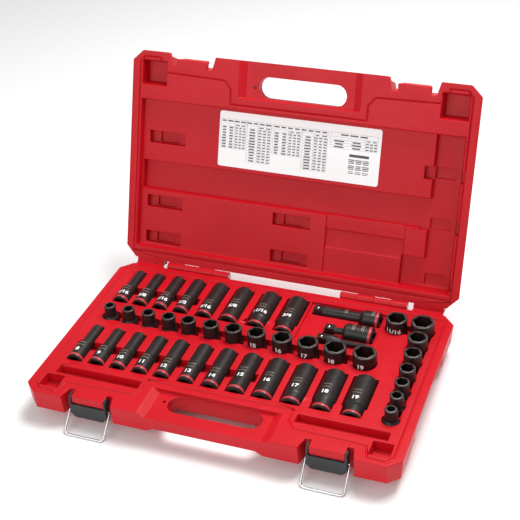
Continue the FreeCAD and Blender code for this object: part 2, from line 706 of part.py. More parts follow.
def tool_seats():
    """A round-bottomed seat under each accessory, stepped where the accessory is."""
    solids = []
    for name, left, right, radius in TOOLS:
        row = from_front(f"{name.split('_')[0]}_y")
        wide = f"({radius} + seat_side)"
        solids.append(rod(f"seat_{name}", "x", wide, f"({right}) - ({left})", left, row, TOOL_Z))
        solids.append(block(f"seat_{name}_mouth", left, right, f"{row} - {wide}", f"{row} + {wide}", TOOL_Z,
                            "rim_height + past"))
    return solids


# ---- the base --------------------------------------------------------------------------------------------------

def make_base():
    body = new_body("base_shell")
    outline = new_sketch(body, "top", "base_outline", y=MIDDLE, z=DECK)
    polygon(outline, rim_outline(0))
    extrude(body, "Pad", outline, "base_lip", "lip_height", down=True)
    walls = new_sketch(body, "top", "base_walls_sketch", y=MIDDLE, z=f"{DECK} - lip_height")
    polygon(walls, rim_outline("side_step"))
    extrude(body, "Pad", walls, "base_walls", "wall_height - lip_height", "wall_draft", down=True)
    belly = new_sketch(body, "top", "base_belly_sketch", y=MIDDLE, z=LEDGE)
    polygon(belly, belly_outline("belly_inset", "belly_front", BELLY_BACK, "hand_gap_y"))
    extrude(body, "Pad", belly, "base_belly", LEDGE, "belly_draft", down=True)
    notches = new_sketch(body, "top", "base_notch_sketch", y=MIDDLE, z=f"{DECK} + past")
    notch_outline(notches)
    extrude(body, "Pocket", notches, "base_notches", "wall_height + 2 * past")
    cut_handle(body, DECK, 1)
    under = new_sketch(body, "front", "base_under_sketch", z="case_depth / 2 + past")
    polygon(under, mirrored([("grip_under_x", f"{LEDGE} + grip_under"),
                            ("grip_under_x + grip_under_run", f"{LEDGE} - past")]))
    extrude(body, "Pocket", under, "base_under", "grip_pan_back + past")
    tabs = new_sketch(body, "top", "base_tab_sketch", y=MIDDLE, z=DECK)
    for sign in (-1, 1):
        rectangle(tabs, f"{sign} * latch_x - tab_half", f"{sign} * latch_x + tab_half", "tab_front",
                  "notch_deep + root")
    extrude(body, "Pad", tabs, "base_tabs", "tab_high", down=True)

    corners = new_sketch(body, "top", "base_corner_sketch", y=MIDDLE, z=DECK)
    troughs = new_sketch(body, "top", "base_trough_sketch", y=MIDDLE, z=DECK)
    for sign in (-1, 1):
        edges = sorted((f"{sign} * corner_pocket_in", f"{sign} * corner_pocket_out"), key=number)
        rectangle(corners, *edges, "corner_pocket_front", "corner_pocket_back")
        edges = sorted((f"{sign} * front_trough_in", f"{sign} * front_trough_out"), key=number)
        rectangle(troughs, *edges, "front_trough_front", "front_trough_back")
    extrude(body, "Pocket", corners, "base_corner_pockets", "corner_pocket_deep", "pocket_draft")
    extrude(body, "Pocket", troughs, "base_front_troughs", "front_trough_deep", "pocket_draft")
    fingers = new_sketch(body, "top", "base_finger_sketch", y=MIDDLE, z=DECK)
    rectangle(fingers, "finger_left", "finger_right", "finger_front", "finger_front + finger_wide")
    rectangle(fingers, "finger_left", "rear_finger_right", "rear_finger_front", "rear_finger_front + finger_wide")
    extrude(body, "Pocket", fingers, "base_finger_channels", "finger_deep", "pocket_draft")
    recess = new_sketch(body, "top", "base_recess_sketch", y=MIDDLE, z=DECK)
    rectangle(recess, "recess_left", "recess_right", "recess_front", "recess_back")
    extrude(body, "Pocket", recess, "base_tool_recess", "recess_deep", "pocket_draft")
    groove = new_sketch(body, "top", "base_groove_sketch", y=MIDDLE, z=DECK)
    groove_band(groove)
    extrude(body, "Pocket", groove, "base_groove", "groove_deep")
    stop_feet(body, 1)

    whole = fuse("base_whole", [body] + knuckles("base", f"{DECK} - knuckle_r", f"{DECK} - part_gap"))
    inner = "(belly_inset + skin + air_inset)"
    high = "rim_height - air_drop"
    beside = (from_front("belly_front + skin + air_inset"), from_front("hand_gap_y + skin + air_inset"))
    air = [
        block("air_back", f"{inner} - {EDGE}", f"{EDGE} - {inner}", from_front("hand_gap_y + skin + air_inset"),
              from_front(f"{BELLY_BACK} - skin - air_inset"), "skin", high),
        block("air_left", f"{inner} - {EDGE}", "-1 * (hand_gap_x + skin + air_inset)", *beside, "skin", high),
        block("air_right", "hand_gap_x + skin + air_inset", f"{EDGE} - {inner}", *beside, "skin", high),
    ]
    lugs = [
        rod(f"lug_hole_{side}_{end}", "x", "lug_r + pin_play", "lug_long + lug_end_gap + past",
            f"{sign} * latch_x + {'tab_half - lug_long - lug_end_gap' if end == 'b' else '-1 * tab_half - past'}",
            PIVOT_Y, PIVOT_Z)
        for sign, side in SIDES for end in "ab"
    ]
    tools = deep_seats() + short_seats() + tool_seats() + air + lugs
    tools += hand_slot("base", "-1 * past", "rim_height + past") + knuckle_bores("base", "pin_r")
    keep(cut("base_cut", whole, fuse("base_tools", tools)), "case_base")


# ---- the lid, drawn closed and then turned open about the pins -------------------------------------------------

def open_lid(solid):
    """Turn a solid that was drawn in the closed position about the hinge pins to the open one."""
    pin = f"vector(0; {bound(HINGE_Y)}; {bound(DECK)})"
    turn = f"rotation(vector(1; 0; 0); -1 * {bound('lid_angle')})"
    solid.setExpression("Placement", f"placement(vector(0; 0; 0); {turn}; {pin})")


def make_lid():
    body = new_body("lid_shell")
    outline = new_sketch(body, "top", "lid_outline", y=MIDDLE, z=PARTING)
    polygon(outline, rim_outline(0))
    extrude(body, "Pad", outline, "lid_flange", "flange - part_gap", "flange_draft")
    belly = new_sketch(body, "top", "lid_belly_sketch", y=MIDDLE, z=f"{DECK} + flange")
    polygon(belly, belly_outline("lid_inset", "lid_front_inset", "(case_depth - lid_inset)", "hand_gap_y"))
    extrude(body, "Pad", belly, "lid_belly", "lid_deep - flange", "lid_belly_draft")
    grip = new_sketch(body, "top", "lid_grip_sketch", y=MIDDLE, z=f"{DECK} + flange")
    rectangle(grip, "-1 * hand_gap_x - lid_grip_side", "hand_gap_x + lid_grip_side", "lid_grip_front",
              "hand_gap_y + lid_grip_back")
    extrude(body, "Pad", grip, "lid_grip", "lid_grip_high - flange", "flange_draft")
    notches = new_sketch(body, "top", "lid_notch_sketch", y=MIDDLE, z="rim_height + lid_deep + past")
    notch_outline(notches)
    extrude(body, "Pocket", notches, "lid_notches", "lid_deep + 2 * past")
    cut_handle(body, PARTING, -1)
    for sign, side in SIDES:
        catch = new_sketch(body, "side", f"lid_catch_{side}_sketch", z=f"{sign} * latch_x - catch_half")
        polygon(catch, [
            (from_front("catch_front"), f"{PARTING}"),
            (from_front("notch_deep + root"), f"{PARTING}"),
            (from_front("notch_deep + root"), CATCH_SEAT),
            (from_front("catch_lip_back"), CATCH_SEAT),
            (from_front("catch_lip_back"), f"{CATCH_SEAT} + catch_lip"),
            (from_front("catch_front"), f"{CATCH_SEAT} + catch_lip"),
        ])
        extrude(body, "Pad", catch, f"lid_catch_{side}", "2 * catch_half")
    tabs = new_sketch(body, "top", "lid_tab_sketch", y=MIDDLE, z=PARTING)
    for sign in (-1, 1):
        rectangle(tabs, f"{sign} * latch_x - tab_half", f"{sign} * latch_x + tab_half", "catch_front",
                  "notch_deep + root")
    extrude(body, "Pad", tabs, "lid_tabs", "flange - part_gap")

    def sunk(name, deep, outlines, draft="field_draft"):
        """Pockets that start at the rim plane and go up into the lid."""
        drawing = new_sketch(body, "top", f"lid_{name}_sketch", y=MIDDLE, z=PARTING)
        for outline in outlines:
            rectangle(drawing, *outline)
        extrude(body, "Pocket", drawing, f"lid_{name}", deep, draft, down=True)

    sunk("field", "field_deep", [(f"-1 * {FIELD_X}", FIELD_X, "field_front", FIELD_BACK)])
    sunk("channel", "channel_deep", [(f"past - {FIELD_X}", FIELD_X, "channel_front", "channel_back")])
    sunk("column", "channel_deep", [("column_x", FIELD_X, "field_front", FIELD_BACK)])
    sunk("column_back", "channel_deep", [("column_wide_x", FIELD_X, "column_wide_front", FIELD_BACK)])
    panel = ("panel_left", "panel_right + panel_lap")
    sunk("panel", "panel_deep", [(*panel, "channel_back - panel_lap", FIELD_BACK)])
    sunk("panel_middle", "panel_mid_deep", [(*panel, "panel_mid_front", "panel_mid_back")])
    for sign, side in SIDES:
        edges = sorted((f"{sign} * lid_pocket_in", f"{sign} * lid_pocket_out"), key=number)
        sunk(f"corner_{side}", "lid_pocket_deep", [(*edges, "lid_pocket_front", "lid_pocket_back")])
    for index in range(len(RESTS)):
        x, y = f"rest_x_{index}", f"rest_y_{index}"
        for name, deep, half_x, half_y in (
            (f"rest_{index}", "dent_deep - dent_step", "dent_half_x", "dent_half_y"),
            (f"rest_floor_{index}", "dent_deep", "dent_floor_half_x", "(dent_half_y - dent_floor_inset)"),
        ):
            sunk(name, deep, [(f"{x} - {half_x}", f"{x} + {half_x}", f"{y} - {half_y}", f"{y} + {half_y}")], 0)
    groove = new_sketch(body, "top", "lid_groove_sketch", y=MIDDLE, z=PARTING)
    groove_band(groove)
    extrude(body, "Pocket", groove, "lid_groove", "groove_deep", down=True)
    stop_feet(body, -1)

    whole = fuse("lid_whole", [body] + knuckles("lid", f"{DECK} + part_gap", f"{DECK} + knuckle_r"))
    tools = hand_slot("lid", "rim_height - past", "rim_height + lid_deep + past")
    tools += knuckle_bores("lid", "pin_r + pin_play")
    lid = cut("lid_cut", whole, fuse("lid_tools", tools))
    open_lid(lid)
    keep(lid, "case_lid")
    paper = block("label_sheet", "label_x - label_wide / 2", "label_x + label_wide / 2", from_front("label_front"),
                  from_front("label_front + label_high"), f"{PARTING} + field_deep - label_thick",
                  f"{PARTING} + field_deep")
    label = doc.addObject("Part::Compound", "label_open")
    label.Links = [paper]
    open_lid(label)
    keep(label, "size_label")


def make_pins():
    for sign, side in SIDES:
        pin = rod(f"pin_{side}", "x", "pin_r", "4 * knuckle_pitch - 2 * knuckle_gap",
                  f"{sign} * (knuckle_first + 2 * knuckle_pitch) - 2 * knuckle_pitch + knuckle_gap", HINGE_Y, DECK)
        keep(pin, f"hinge_pin_{side}")


# ---- latches ---------------------------------------------------------------------------------------------------

BAIL_Y = f"({PIVOT_Y} + bail_back)"
BAIL_Z = f"({PIVOT_Z} - bail_drop)"


def make_lever(sign, side):
    middle = f"{sign} * latch_x"
    name = f"lever_{side}"
    body = new_body(f"{name}_plate")
    face = new_sketch(body, "front", f"{name}_face_sketch", x=middle, z="case_depth / 2 - plate_front")
    toe = "(plate_half - plate_toe_half)"
    polygon(face, [
        ("-1 * plate_toe_half", PLATE_LOW), ("plate_toe_half", PLATE_LOW),
        ("plate_half", f"{PLATE_LOW} + {toe}"), ("plate_half", PLATE_HIGH),
        ("-1 * plate_half", PLATE_HIGH), ("-1 * plate_half", f"{PLATE_LOW} + {toe}"),
    ])
    extrude(body, "Pad", face, f"{name}_plate_pad", "plate_thick", down=True)
    inner = "(tab_half + cheek_gap)"
    solids = [body]
    holes = []
    for end, start in (("a", f"{middle} - {inner} - cheek_thick"), ("b", f"{middle} + {inner}")):
        cheek = new_sketch(body, "side", f"{name}_cheek_{end}_sketch", z=start)
        front = from_front("plate_front")
        polygon(cheek, [
            (front, PIVOT_Z), (front, f"{PLATE_LOW} + {toe}"),
            (f"{front} + plate_thick + cheek_toe", f"{PLATE_LOW} + {toe}"),
            (f"{BAIL_Y} + bail_eye_r", BAIL_Z), (f"{PIVOT_Y} + cheek_r", PIVOT_Z),
        ])
        extrude(body, "Pad", cheek, f"{name}_cheek_{end}", "cheek_thick")
        solids.append(rod(f"{name}_pivot_{end}", "x", "cheek_r", "cheek_thick", start, PIVOT_Y, PIVOT_Z))
        solids.append(rod(f"{name}_eye_{end}", "x", "bail_eye_r", "cheek_thick", start, BAIL_Y, BAIL_Z))
        lug = f"{middle} + tab_half - lug_long" if end == "b" else f"{middle} - {inner} - lug_root"
        solids.append(rod(f"{name}_lug_{end}", "x", "lug_r", "lug_long + cheek_gap + lug_root", lug, PIVOT_Y, PIVOT_Z))
        holes.append(rod(f"{name}_hole_{end}", "x", "wire_r + wire_play", "cheek_thick + 2 * past", f"{start} - past",
                         BAIL_Y, BAIL_Z))
    keep(cut(f"{name}_cut", fuse(f"{name}_whole", solids), fuse(f"{name}_holes", holes)), f"latch_lever_{side}")


def make_bail(sign, side):
    """A wire bent in one plane: an inward end in each lever cheek, two legs and the crossbar that hooks the lid."""
    body = new_body(f"bail_{side}")
    path = new_sketch(body, "top", f"bail_{side}_path")
    half, long = number("bail_half"), number("bail_long")
    bend, corner = number("bail_eye_bend"), number("bail_corner")
    tip = number("tab_half + cheek_gap + bail_tip_gap")

    def arc(x, y, radius, start):
        middle = FreeCAD.Vector(x, y, 0)
        ring = Part.Circle(middle, FreeCAD.Vector(0, 0, 1), radius)
        quarter = 3.14159265358979 / 2
        return Part.ArcOfCircle(ring, start * quarter, (start + 1) * quarter)

    def line(x1, y1, x2, y2):
        return Part.LineSegment(FreeCAD.Vector(x1, y1, 0), FreeCAD.Vector(x2, y2, 0))

    path.addGeometry([
        line(-tip, 0, bend - half, 0),
        arc(bend - half, bend, bend, 2),
        line(-half, bend, -half, long - corner),
        arc(corner - half, long - corner, corner, 1),
        line(corner - half, long, half - corner, long),
        arc(half - corner, long - corner, corner, 0),
        line(half, long - corner, half, bend),
        arc(half - bend, bend, bend, 3),
        line(half - bend, 0, tip, 0),
    ], False)
    joints = [(0, 2, 1, 2), (1, 1, 2, 1), (2, 2, 3, 2), (3, 1, 4, 1), (4, 2, 5, 2), (5, 1, 6, 1), (6, 2, 7, 2),
              (7, 1, 8, 1)]
    for first, first_end, second, second_end in joints:
        path.addConstraint(Sketcher.Constraint("Tangent", first, first_end, second, second_end))
    for kind, shape, end, expression in (
        ("DistanceX", 0, 1, "-1 * (tab_half + cheek_gap + bail_tip_gap)"),
        ("DistanceY", 0, 1, 0),
        ("DistanceX", 8, 2, "tab_half + cheek_gap + bail_tip_gap"),
        ("DistanceY", 8, 2, 0),
        ("DistanceX", 2, 1, "-1 * bail_half"),
        ("DistanceX", 6, 1, "bail_half"),
        ("DistanceY", 4, 1, "bail_long"),
    ):
        index = path.addConstraint(Sketcher.Constraint(kind, -1, 1, shape, end, number(expression)))
        path.setExpression(f"Constraints[{index}]", bound(expression))
    for shape, expression in ((1, "bail_eye_bend"), (7, "bail_eye_bend"), (3, "bail_corner"), (5, "bail_corner")):
        index = path.addConstraint(Sketcher.Constraint("Radius", shape, number(expression)))
        path.setExpression(f"Constraints[{index}]", bound(expression))
    for shape in (0, 8, 4):
        path.addConstraint(Sketcher.Constraint("Horizontal", shape))
    section = new_sketch(body, "side", f"bail_{side}_section", z="-1 * (tab_half + cheek_gap + bail_tip_gap)")
    circle(section, "wire_r")
    wire = body.newObject("PartDesign::AdditivePipe", f"bail_{side}_wire")
    wire.Profile = section
    wire.Spine = (path, [])
    keep(body, f"latch_bail_{side}")
    lean = f"rotation(vector(1; 0; 0); -90 - {bound('bail_rest')})"
    spot = f"vector({bound(f'{sign} * latch_x')}; {bound(BAIL_Y)}; {bound(BAIL_Z)})"
    body.setExpression("Placement", f"placement({spot}; {lean})")


# ---- sockets ---------------------------------------------------------------------------------------------------

def hexagon(drawing, flats):
    """Six corners, two of them on the sketch's X axis."""
    reach = f"({flats}) / sqrt(3)"
    tall = f"({flats}) / 2"
    polygon(drawing, [
        (reach, 0), (f"{reach} / 2", tall), (f"{reach} / -2", tall),
        (f"{reach} * -1", 0), (f"{reach} / -2", f"{tall} * -1"), (f"{reach} / 2", f"{tall} * -1"),
    ])


def square(drawing, flats):
    rectangle(drawing, f"({flats}) / -2", f"({flats}) / 2", f"({flats}) / -2", f"({flats}) / 2")


def make_socket(key, label, kind):
    """A socket along its own Z: square drive at the bottom, hexagon at the top, a bore between them."""
    long = f"{kind}_long"
    name = f"{kind}_{key}"
    nose = f"(nose_{key} / 2)"
    drive = f"({drive_radius(key)})"
    bore = f"(flats_{key} / 2 - bore_step)"
    neck = neck_length(key, kind)
    body = new_body(name)
    profile = new_sketch(body, "front", f"{name}_profile")
    outer = [
        (bore, 0), (f"{drive} - edge_cut", 0), (drive, "edge_cut"), (drive, "band_from"),
        (f"{drive} - band_deep", "band_from"), (f"{drive} - band_deep", "band_from + band_wide"),
        (drive, "band_from + band_wide"),
    ]
    if number(drive) != number(nose):
        outer += [(drive, neck), (nose, f"{neck} + neck_run")]
    outer += [(nose, f"{long} - edge_cut"), (f"{nose} - edge_cut", long), (bore, long)]
    polygon(profile, outer)
    revolve(body, profile, f"{name}_form")
    drive_hole = new_sketch(body, "top", f"{name}_drive_sketch")
    square(drive_hole, "drive_flats")
    extrude(body, "Pocket", drive_hole, f"{name}_drive", "drive_deep", down=True)
    mouth = new_sketch(body, "top", f"{name}_hex_sketch", z=long)
    hexagon(mouth, f"flats_{key} + hex_play")
    extrude(body, "Pocket", mouth, f"{name}_hex", f"min(flats_{key} * hex_share; {long} - drive_deep - 2)")
    keep(body, f"{kind}_socket_{label}")
    return body


def make_sockets():
    for group, front in ((METRIC, "deep_front"), (INCH, "rear_front")):
        for key, label, *_ in group:
            deep = make_socket(key, label, "deep")
            place(deep, "y", f"deep_x_{key}", from_front(front), deep_axis(key))
            short = make_socket(key, label, "short")
            x, y = short_place(key)
            place(short, "z", x, y, "rim_height + short_top - short_long")


# ---- accessories, each drawn along its own Z and laid along X --------------------------------------------------

def tang_hole(name, x, y):
    """The hole for the detent ball, down into the top of a square tang."""
    top = f"{TOOL_Z} + {TANG_FLATS} / 2"
    return rod(f"{name}_ball_hole", "z", "ball_r + ball_play", "2 * (ball_r + ball_room)", x, y,
               f"{top} - 2 * ball_r - ball_room")


def detent_ball(name, x, y):
    ball = doc.addObject("Part::Sphere", f"{name}_ball")
    tie(ball, Radius="ball_r")
    tie(ball, Placement__Base__x=x, Placement__Base__y=y,
        Placement__Base__z=f"{TOOL_Z} + {TANG_FLATS} / 2 + ball_proud - ball_r")
    keep(ball, f"{name}_detent_ball")


def turned(name, points):
    """A body whose first feature is a profile of (radius, height) pairs turned about Z."""
    body = new_body(name)
    profile = new_sketch(body, "front", f"{name}_profile")
    polygon(profile, [(0, points[0][1])] + points + [(0, points[-1][1])])
    revolve(body, profile, f"{name}_form")
    return body


def add_square(body, name, start, length, kind="Pad"):
    drawing = new_sketch(body, "top", f"{name}_sketch", z=start)
    square(drawing, TANG_FLATS if kind == "Pad" else "drive_flats")
    extrude(body, kind, drawing, name, length)


def make_extension():
    head = "(bar_long - bar_head_long)"
    band = "(bar_long - band_from - band_wide)"
    body = turned("bar", [
        ("bar_shank_r - edge_cut", "tang_long"), ("bar_shank_r", "tang_long + edge_cut"),
        ("bar_shank_r", f"{head} - bar_flare"), ("bar_head_r", head), ("bar_head_r", band),
        ("bar_head_r - band_deep", band), ("bar_head_r - band_deep", f"{band} + band_wide"),
        ("bar_head_r", f"{band} + band_wide"), ("bar_head_r", "bar_long - edge_cut"),
        ("bar_head_r - edge_cut", "bar_long"),
    ])
    add_square(body, "bar_tang", 0, "tang_long + past")
    add_square(body, "bar_drive", "bar_long", "drive_deep", "Pocket")
    row = from_front("bar_y")
    place(body, "x", "bar_x", row, TOOL_Z)
    keep(cut("bar_cut", body, tang_hole("bar", "bar_x + ball_from_end", row)), "extension_bar")
    detent_ball("extension", "bar_x + ball_from_end", row)


def make_universal_joint():
    row = from_front("joint_y")
    mouth = "(joint_long - joint_head_long)"
    middle = f"({mouth} + joint_ball_in)"
    cup = "(joint_ball_r + joint_ball_play)"
    band = "(joint_long - band_from - band_wide)"
    head = turned("joint_head", [
        ("joint_head_r - joint_cut_r", mouth), ("joint_head_r", f"{mouth} + joint_cut_long"), ("joint_head_r", band),
        ("joint_head_r - band_deep", band), ("joint_head_r - band_deep", f"{band} + band_wide"),
        ("joint_head_r", f"{band} + band_wide"), ("joint_head_r", "joint_long - edge_cut"),
        ("joint_head_r - edge_cut", "joint_long"),
    ])
    add_square(head, "joint_drive", "joint_long", "drive_deep", "Pocket")
    place(head, "x", "joint_x", row, TOOL_Z)
    cup_hole = rod("joint_cup", "x", cup, f"joint_ball_in + {cup} + 2 * past", f"joint_x + {mouth} - past", row, TOOL_Z)
    pin_hole = rod("joint_pin_hole", "y", "joint_pin_r", "2 * joint_head_r + 2 * past", f"joint_x + {middle}",
                   f"{row} - joint_head_r - past", TOOL_Z)
    keep(cut("joint_head_cut", head, fuse("joint_head_holes", [cup_hole, pin_hole])), "universal_joint_head")

    stem = turned("joint_stem", [("joint_neck_r", "tang_long - past"), ("joint_neck_r", middle)])
    add_square(stem, "joint_tang", 0, "tang_long")
    place(stem, "x", "joint_x", row, TOOL_Z)
    ball = doc.addObject("Part::Sphere", "joint_ball")
    tie(ball, Radius="joint_ball_r")
    tie(ball, Placement__Base__x=f"joint_x + {middle}", Placement__Base__y=row, Placement__Base__z=TOOL_Z)
    turning_hole = rod("joint_ball_bore", "y", "joint_pin_r + pin_play", "2 * joint_ball_r + 2 * past",
                       f"joint_x + {middle}", f"{row} - joint_ball_r - past", TOOL_Z)
    holes = fuse("joint_ball_holes", [turning_hole, tang_hole("joint", "joint_x + ball_from_end", row)])
    keep(cut("joint_ball_cut", fuse("joint_ball_whole", [stem, ball]), holes), "universal_joint_ball_tang")
    pin = rod("joint_pin", "y", "joint_pin_r", "2 * (joint_head_r - joint_pin_short)", f"joint_x + {middle}",
              f"{row} - joint_head_r + joint_pin_short", TOOL_Z)
    keep(pin, "universal_joint_pin")
    detent_ball("universal_joint", "joint_x + ball_from_end", row)


def make_adapter():
    collar = "(tang_long + adapter_collar_long)"
    body = turned("adapter", [
        ("adapter_collar_r - edge_cut", "tang_long"), ("adapter_collar_r", "tang_long + edge_cut"),
        ("adapter_collar_r", collar), ("shank_flats / 2 + adapter_flare", "adapter_long - shank_long"),
        ("shank_flats / 2", "adapter_long - shank_long"),
    ])
    add_square(body, "adapter_tang", 0, "tang_long + past")
    shank = new_sketch(body, "top", "adapter_shank_sketch", z="adapter_long - shank_long - past")
    hexagon(shank, "shank_flats")
    extrude(body, "Pad", shank, "adapter_shank", "shank_long + past")
    waist = new_sketch(body, "front", "adapter_groove_sketch")
    low = "adapter_long - shank_groove_from - shank_groove_wide"
    near = "shank_flats / 2 - shank_groove_deep"
    rectangle(waist, near, "shank_flats", low, f"{low} + shank_groove_wide")
    groove = body.newObject("PartDesign::Groove", "adapter_groove")
    groove.Profile = waist
    groove.ReferenceAxis = (waist, ["V_Axis"])
    groove.Angle = 360
    row = from_front("adapter_y")
    place(body, "x", "adapter_x", row, TOOL_Z)
    keep(cut("adapter_cut", body, tang_hole("adapter", "adapter_x + ball_from_end", row)), "hex_shank_adapter")
    detent_ball("adapter", "adapter_x + ball_from_end", row)


# ---- make, check and write -------------------------------------------------------------------------------------

def check_everything():
    doc.recompute()
    failed = [item.Name for item in doc.Objects if {"Invalid", "Error"} & set(item.State)]
    if failed:
        raise RuntimeError(f"features that failed: {failed}")
    for solid in nodes:
        if solid.Shape.isNull() or not solid.Shape.isValid():
            raise RuntimeError(f"{solid.Label} has no valid shape")


make_base()
make_lid()
make_pins()
for sign, side in SIDES:
    make_lever(sign, side)
    make_bail(sign, side)
make_sockets()
make_extension()
make_universal_joint()
make_adapter()
check_everything()

os.makedirs("parts", exist_ok=True)
for solid in nodes:
    solid.Shape.exportStep(f"parts/{solid.Label}.step")
    box = solid.Shape.BoundBox
    print(f"{solid.Label:28s} {len(solid.Shape.Solids)} solid(s) {solid.Shape.Volume / 1000:9.2f} cm3  "
          f"x {box.XMin:.1f}..{box.XMax:.1f}  y {box.YMin:.1f}..{box.YMax:.1f}  z {box.ZMin:.1f}..{box.ZMax:.1f}")
print(len(nodes), "sub-parts")
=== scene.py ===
# %% [markdown]
# # A socket set in its moulded case
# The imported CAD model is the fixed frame. Every piece below takes its place from it and rides on one of its bodies,
# so that the lid, the levers, the bails and each socket still move when a pose is applied.

# %% The frame and its measures
import json
import math
import random

import bmesh
import bpy
from mathutils import Matrix, Vector


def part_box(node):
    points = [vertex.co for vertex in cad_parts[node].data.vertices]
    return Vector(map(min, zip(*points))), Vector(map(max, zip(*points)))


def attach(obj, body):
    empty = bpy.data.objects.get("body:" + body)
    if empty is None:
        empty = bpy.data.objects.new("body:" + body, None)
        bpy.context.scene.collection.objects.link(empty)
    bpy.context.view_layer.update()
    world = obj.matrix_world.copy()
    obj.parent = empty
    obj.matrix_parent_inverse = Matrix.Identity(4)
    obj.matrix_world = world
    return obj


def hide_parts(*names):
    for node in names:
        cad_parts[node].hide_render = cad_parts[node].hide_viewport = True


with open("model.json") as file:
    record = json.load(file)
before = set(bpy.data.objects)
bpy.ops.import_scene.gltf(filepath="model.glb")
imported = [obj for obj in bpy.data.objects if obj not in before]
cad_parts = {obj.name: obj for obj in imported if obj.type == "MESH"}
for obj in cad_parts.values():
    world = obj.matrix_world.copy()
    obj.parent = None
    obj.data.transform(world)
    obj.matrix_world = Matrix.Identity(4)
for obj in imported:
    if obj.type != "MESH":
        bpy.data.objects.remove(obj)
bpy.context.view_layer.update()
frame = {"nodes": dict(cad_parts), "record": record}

MM = 0.001
nodes = frame["nodes"]
body_of = {node: body for body, members in frame["record"]["behaviour"]["bodies"].items() for node in members}
slot_of = {part["node"]: part["material_slot"] for part in frame["record"]["subparts"]}
hinge = next(joint for joint in frame["record"]["behaviour"]["joints"] if joint["name"] == "lid_hinge")
pin = Vector(hinge["pos_m"])
swing = Matrix.Rotation(math.radians(hinge["range_deg"][0]), 4, "X")
to_open = Matrix.Translation(pin) @ swing @ Matrix.Translation(-pin)
to_closed = to_open.inverted()
deep = sorted(name for name in nodes if name.startswith("deep_socket"))
short = sorted(name for name in nodes if name.startswith("short_socket"))
print(len(nodes), "CAD nodes,", len(deep), "deep and", len(short), "short sockets")

# %% [markdown]
# ## Camera
# A product shot: the camera stands well back with a long lens, to the right of the case and above it, and is turned
# a few degrees about its own axis. An orbit needs only a target, a distance and two angles.

# %% Camera
TARGET = Vector((3.3, 53.4, 131.8)) * MM
AZIMUTH, ELEVATION, ROLL = (math.radians(angle) for angle in (21.9, 33.75, -3.26))
DISTANCE = 1291.6 * MM
LENS, SENSOR, NEAREST = 80.23, 36, 0.05

back = Vector((math.sin(AZIMUTH) * math.cos(ELEVATION), -math.cos(AZIMUTH) * math.cos(ELEVATION), math.sin(ELEVATION)))
right = Vector((math.cos(AZIMUTH), math.sin(AZIMUTH), 0))
up = back.cross(right)
turned_right = right * math.cos(ROLL) + up * math.sin(ROLL)
turned_up = up * math.cos(ROLL) - right * math.sin(ROLL)
camera = bpy.data.objects.new("camera", bpy.data.cameras.new("camera"))
bpy.context.collection.objects.link(camera)
camera.data.lens = LENS
camera.data.sensor_width = SENSOR
camera.data.clip_start = NEAREST
axes = Matrix((turned_right, turned_up, back)).transposed().to_4x4()
camera.matrix_world = Matrix.Translation(TARGET + back * DISTANCE) @ axes
bpy.context.scene.camera = camera
print("camera at", [round(value, 3) for value in camera.location])

# %% [markdown]
# ## Light and floor
# A white sweep and two large soft boxes. The one overhead stands a little behind the case, so that it draws a long
# soft gleam down every lying socket and leaves the inside of the lid darker than the deck. The other fills the front.
# The world adds an even fill, so that no pocket goes black.

# %% Light and floor
def soft_box(name, place, aim, size, power):
    lamp = bpy.data.lights.new(name, "AREA")
    lamp.shape = "SQUARE"
    lamp.size = size
    lamp.energy = power
    holder = bpy.data.objects.new(name, lamp)
    bpy.context.collection.objects.link(holder)
    place = Vector(place)
    turn = (Vector(aim) - place).to_track_quat("-Z", "Y").to_matrix().to_4x4()
    holder.matrix_world = Matrix.Translation(place) @ turn


FILL = 0.4
HALF_FLOOR = 12
soft_box("overhead", (0.35, 0.45, 1.6), (0, 0, 0), 0.8, 29.5)
soft_box("front", (-0.5, -1.6, 1.0), (0, 0, 0.08), 1.2, 14.5)
world = bpy.data.worlds.new("studio")
bpy.context.scene.world = world
world.use_nodes = True
world.node_tree.nodes["Background"].inputs["Color"].default_value = (1, 1, 1, 1)
world.node_tree.nodes["Background"].inputs["Strength"].default_value = FILL
bpy.context.scene.view_settings.view_transform = "Standard"
floor_mesh = bpy.data.meshes.new("floor")
floor_mesh.from_pydata([(-HALF_FLOOR, -HALF_FLOOR, 0), (HALF_FLOOR, -HALF_FLOOR, 0), (HALF_FLOOR, HALF_FLOOR, 0),
                        (-HALF_FLOOR, HALF_FLOOR, 0)], [], [(0, 1, 2, 3)])
floor = bpy.data.objects.new("floor", floor_mesh)
bpy.context.collection.objects.link(floor)

# %% [markdown]
# ## Node trees as expressions
# A shader is easier to read as arithmetic than as a picture. `Wire` wraps one output socket, and adding or
# multiplying wires adds Math nodes. `Tree.add` makes any other node from its type, settings and inputs.

# %% Node trees as expressions
class Wire:
    def __init__(self, tree, socket):
        self.tree = tree
        self.socket = socket

    def math(self, operation, first, second):
        return self.tree.add("ShaderNodeMath", {"operation": operation}, {0: first, 1: second})

    def __add__(self, other):
        return self.math("ADD", self, other)

    def __sub__(self, other):
        return self.math("SUBTRACT", self, other)

    def __rsub__(self, other):
        return self.math("SUBTRACT", other, self)

    def __mul__(self, other):
        return self.math("MULTIPLY", self, other)

    __radd__ = __add__
    __rmul__ = __mul__


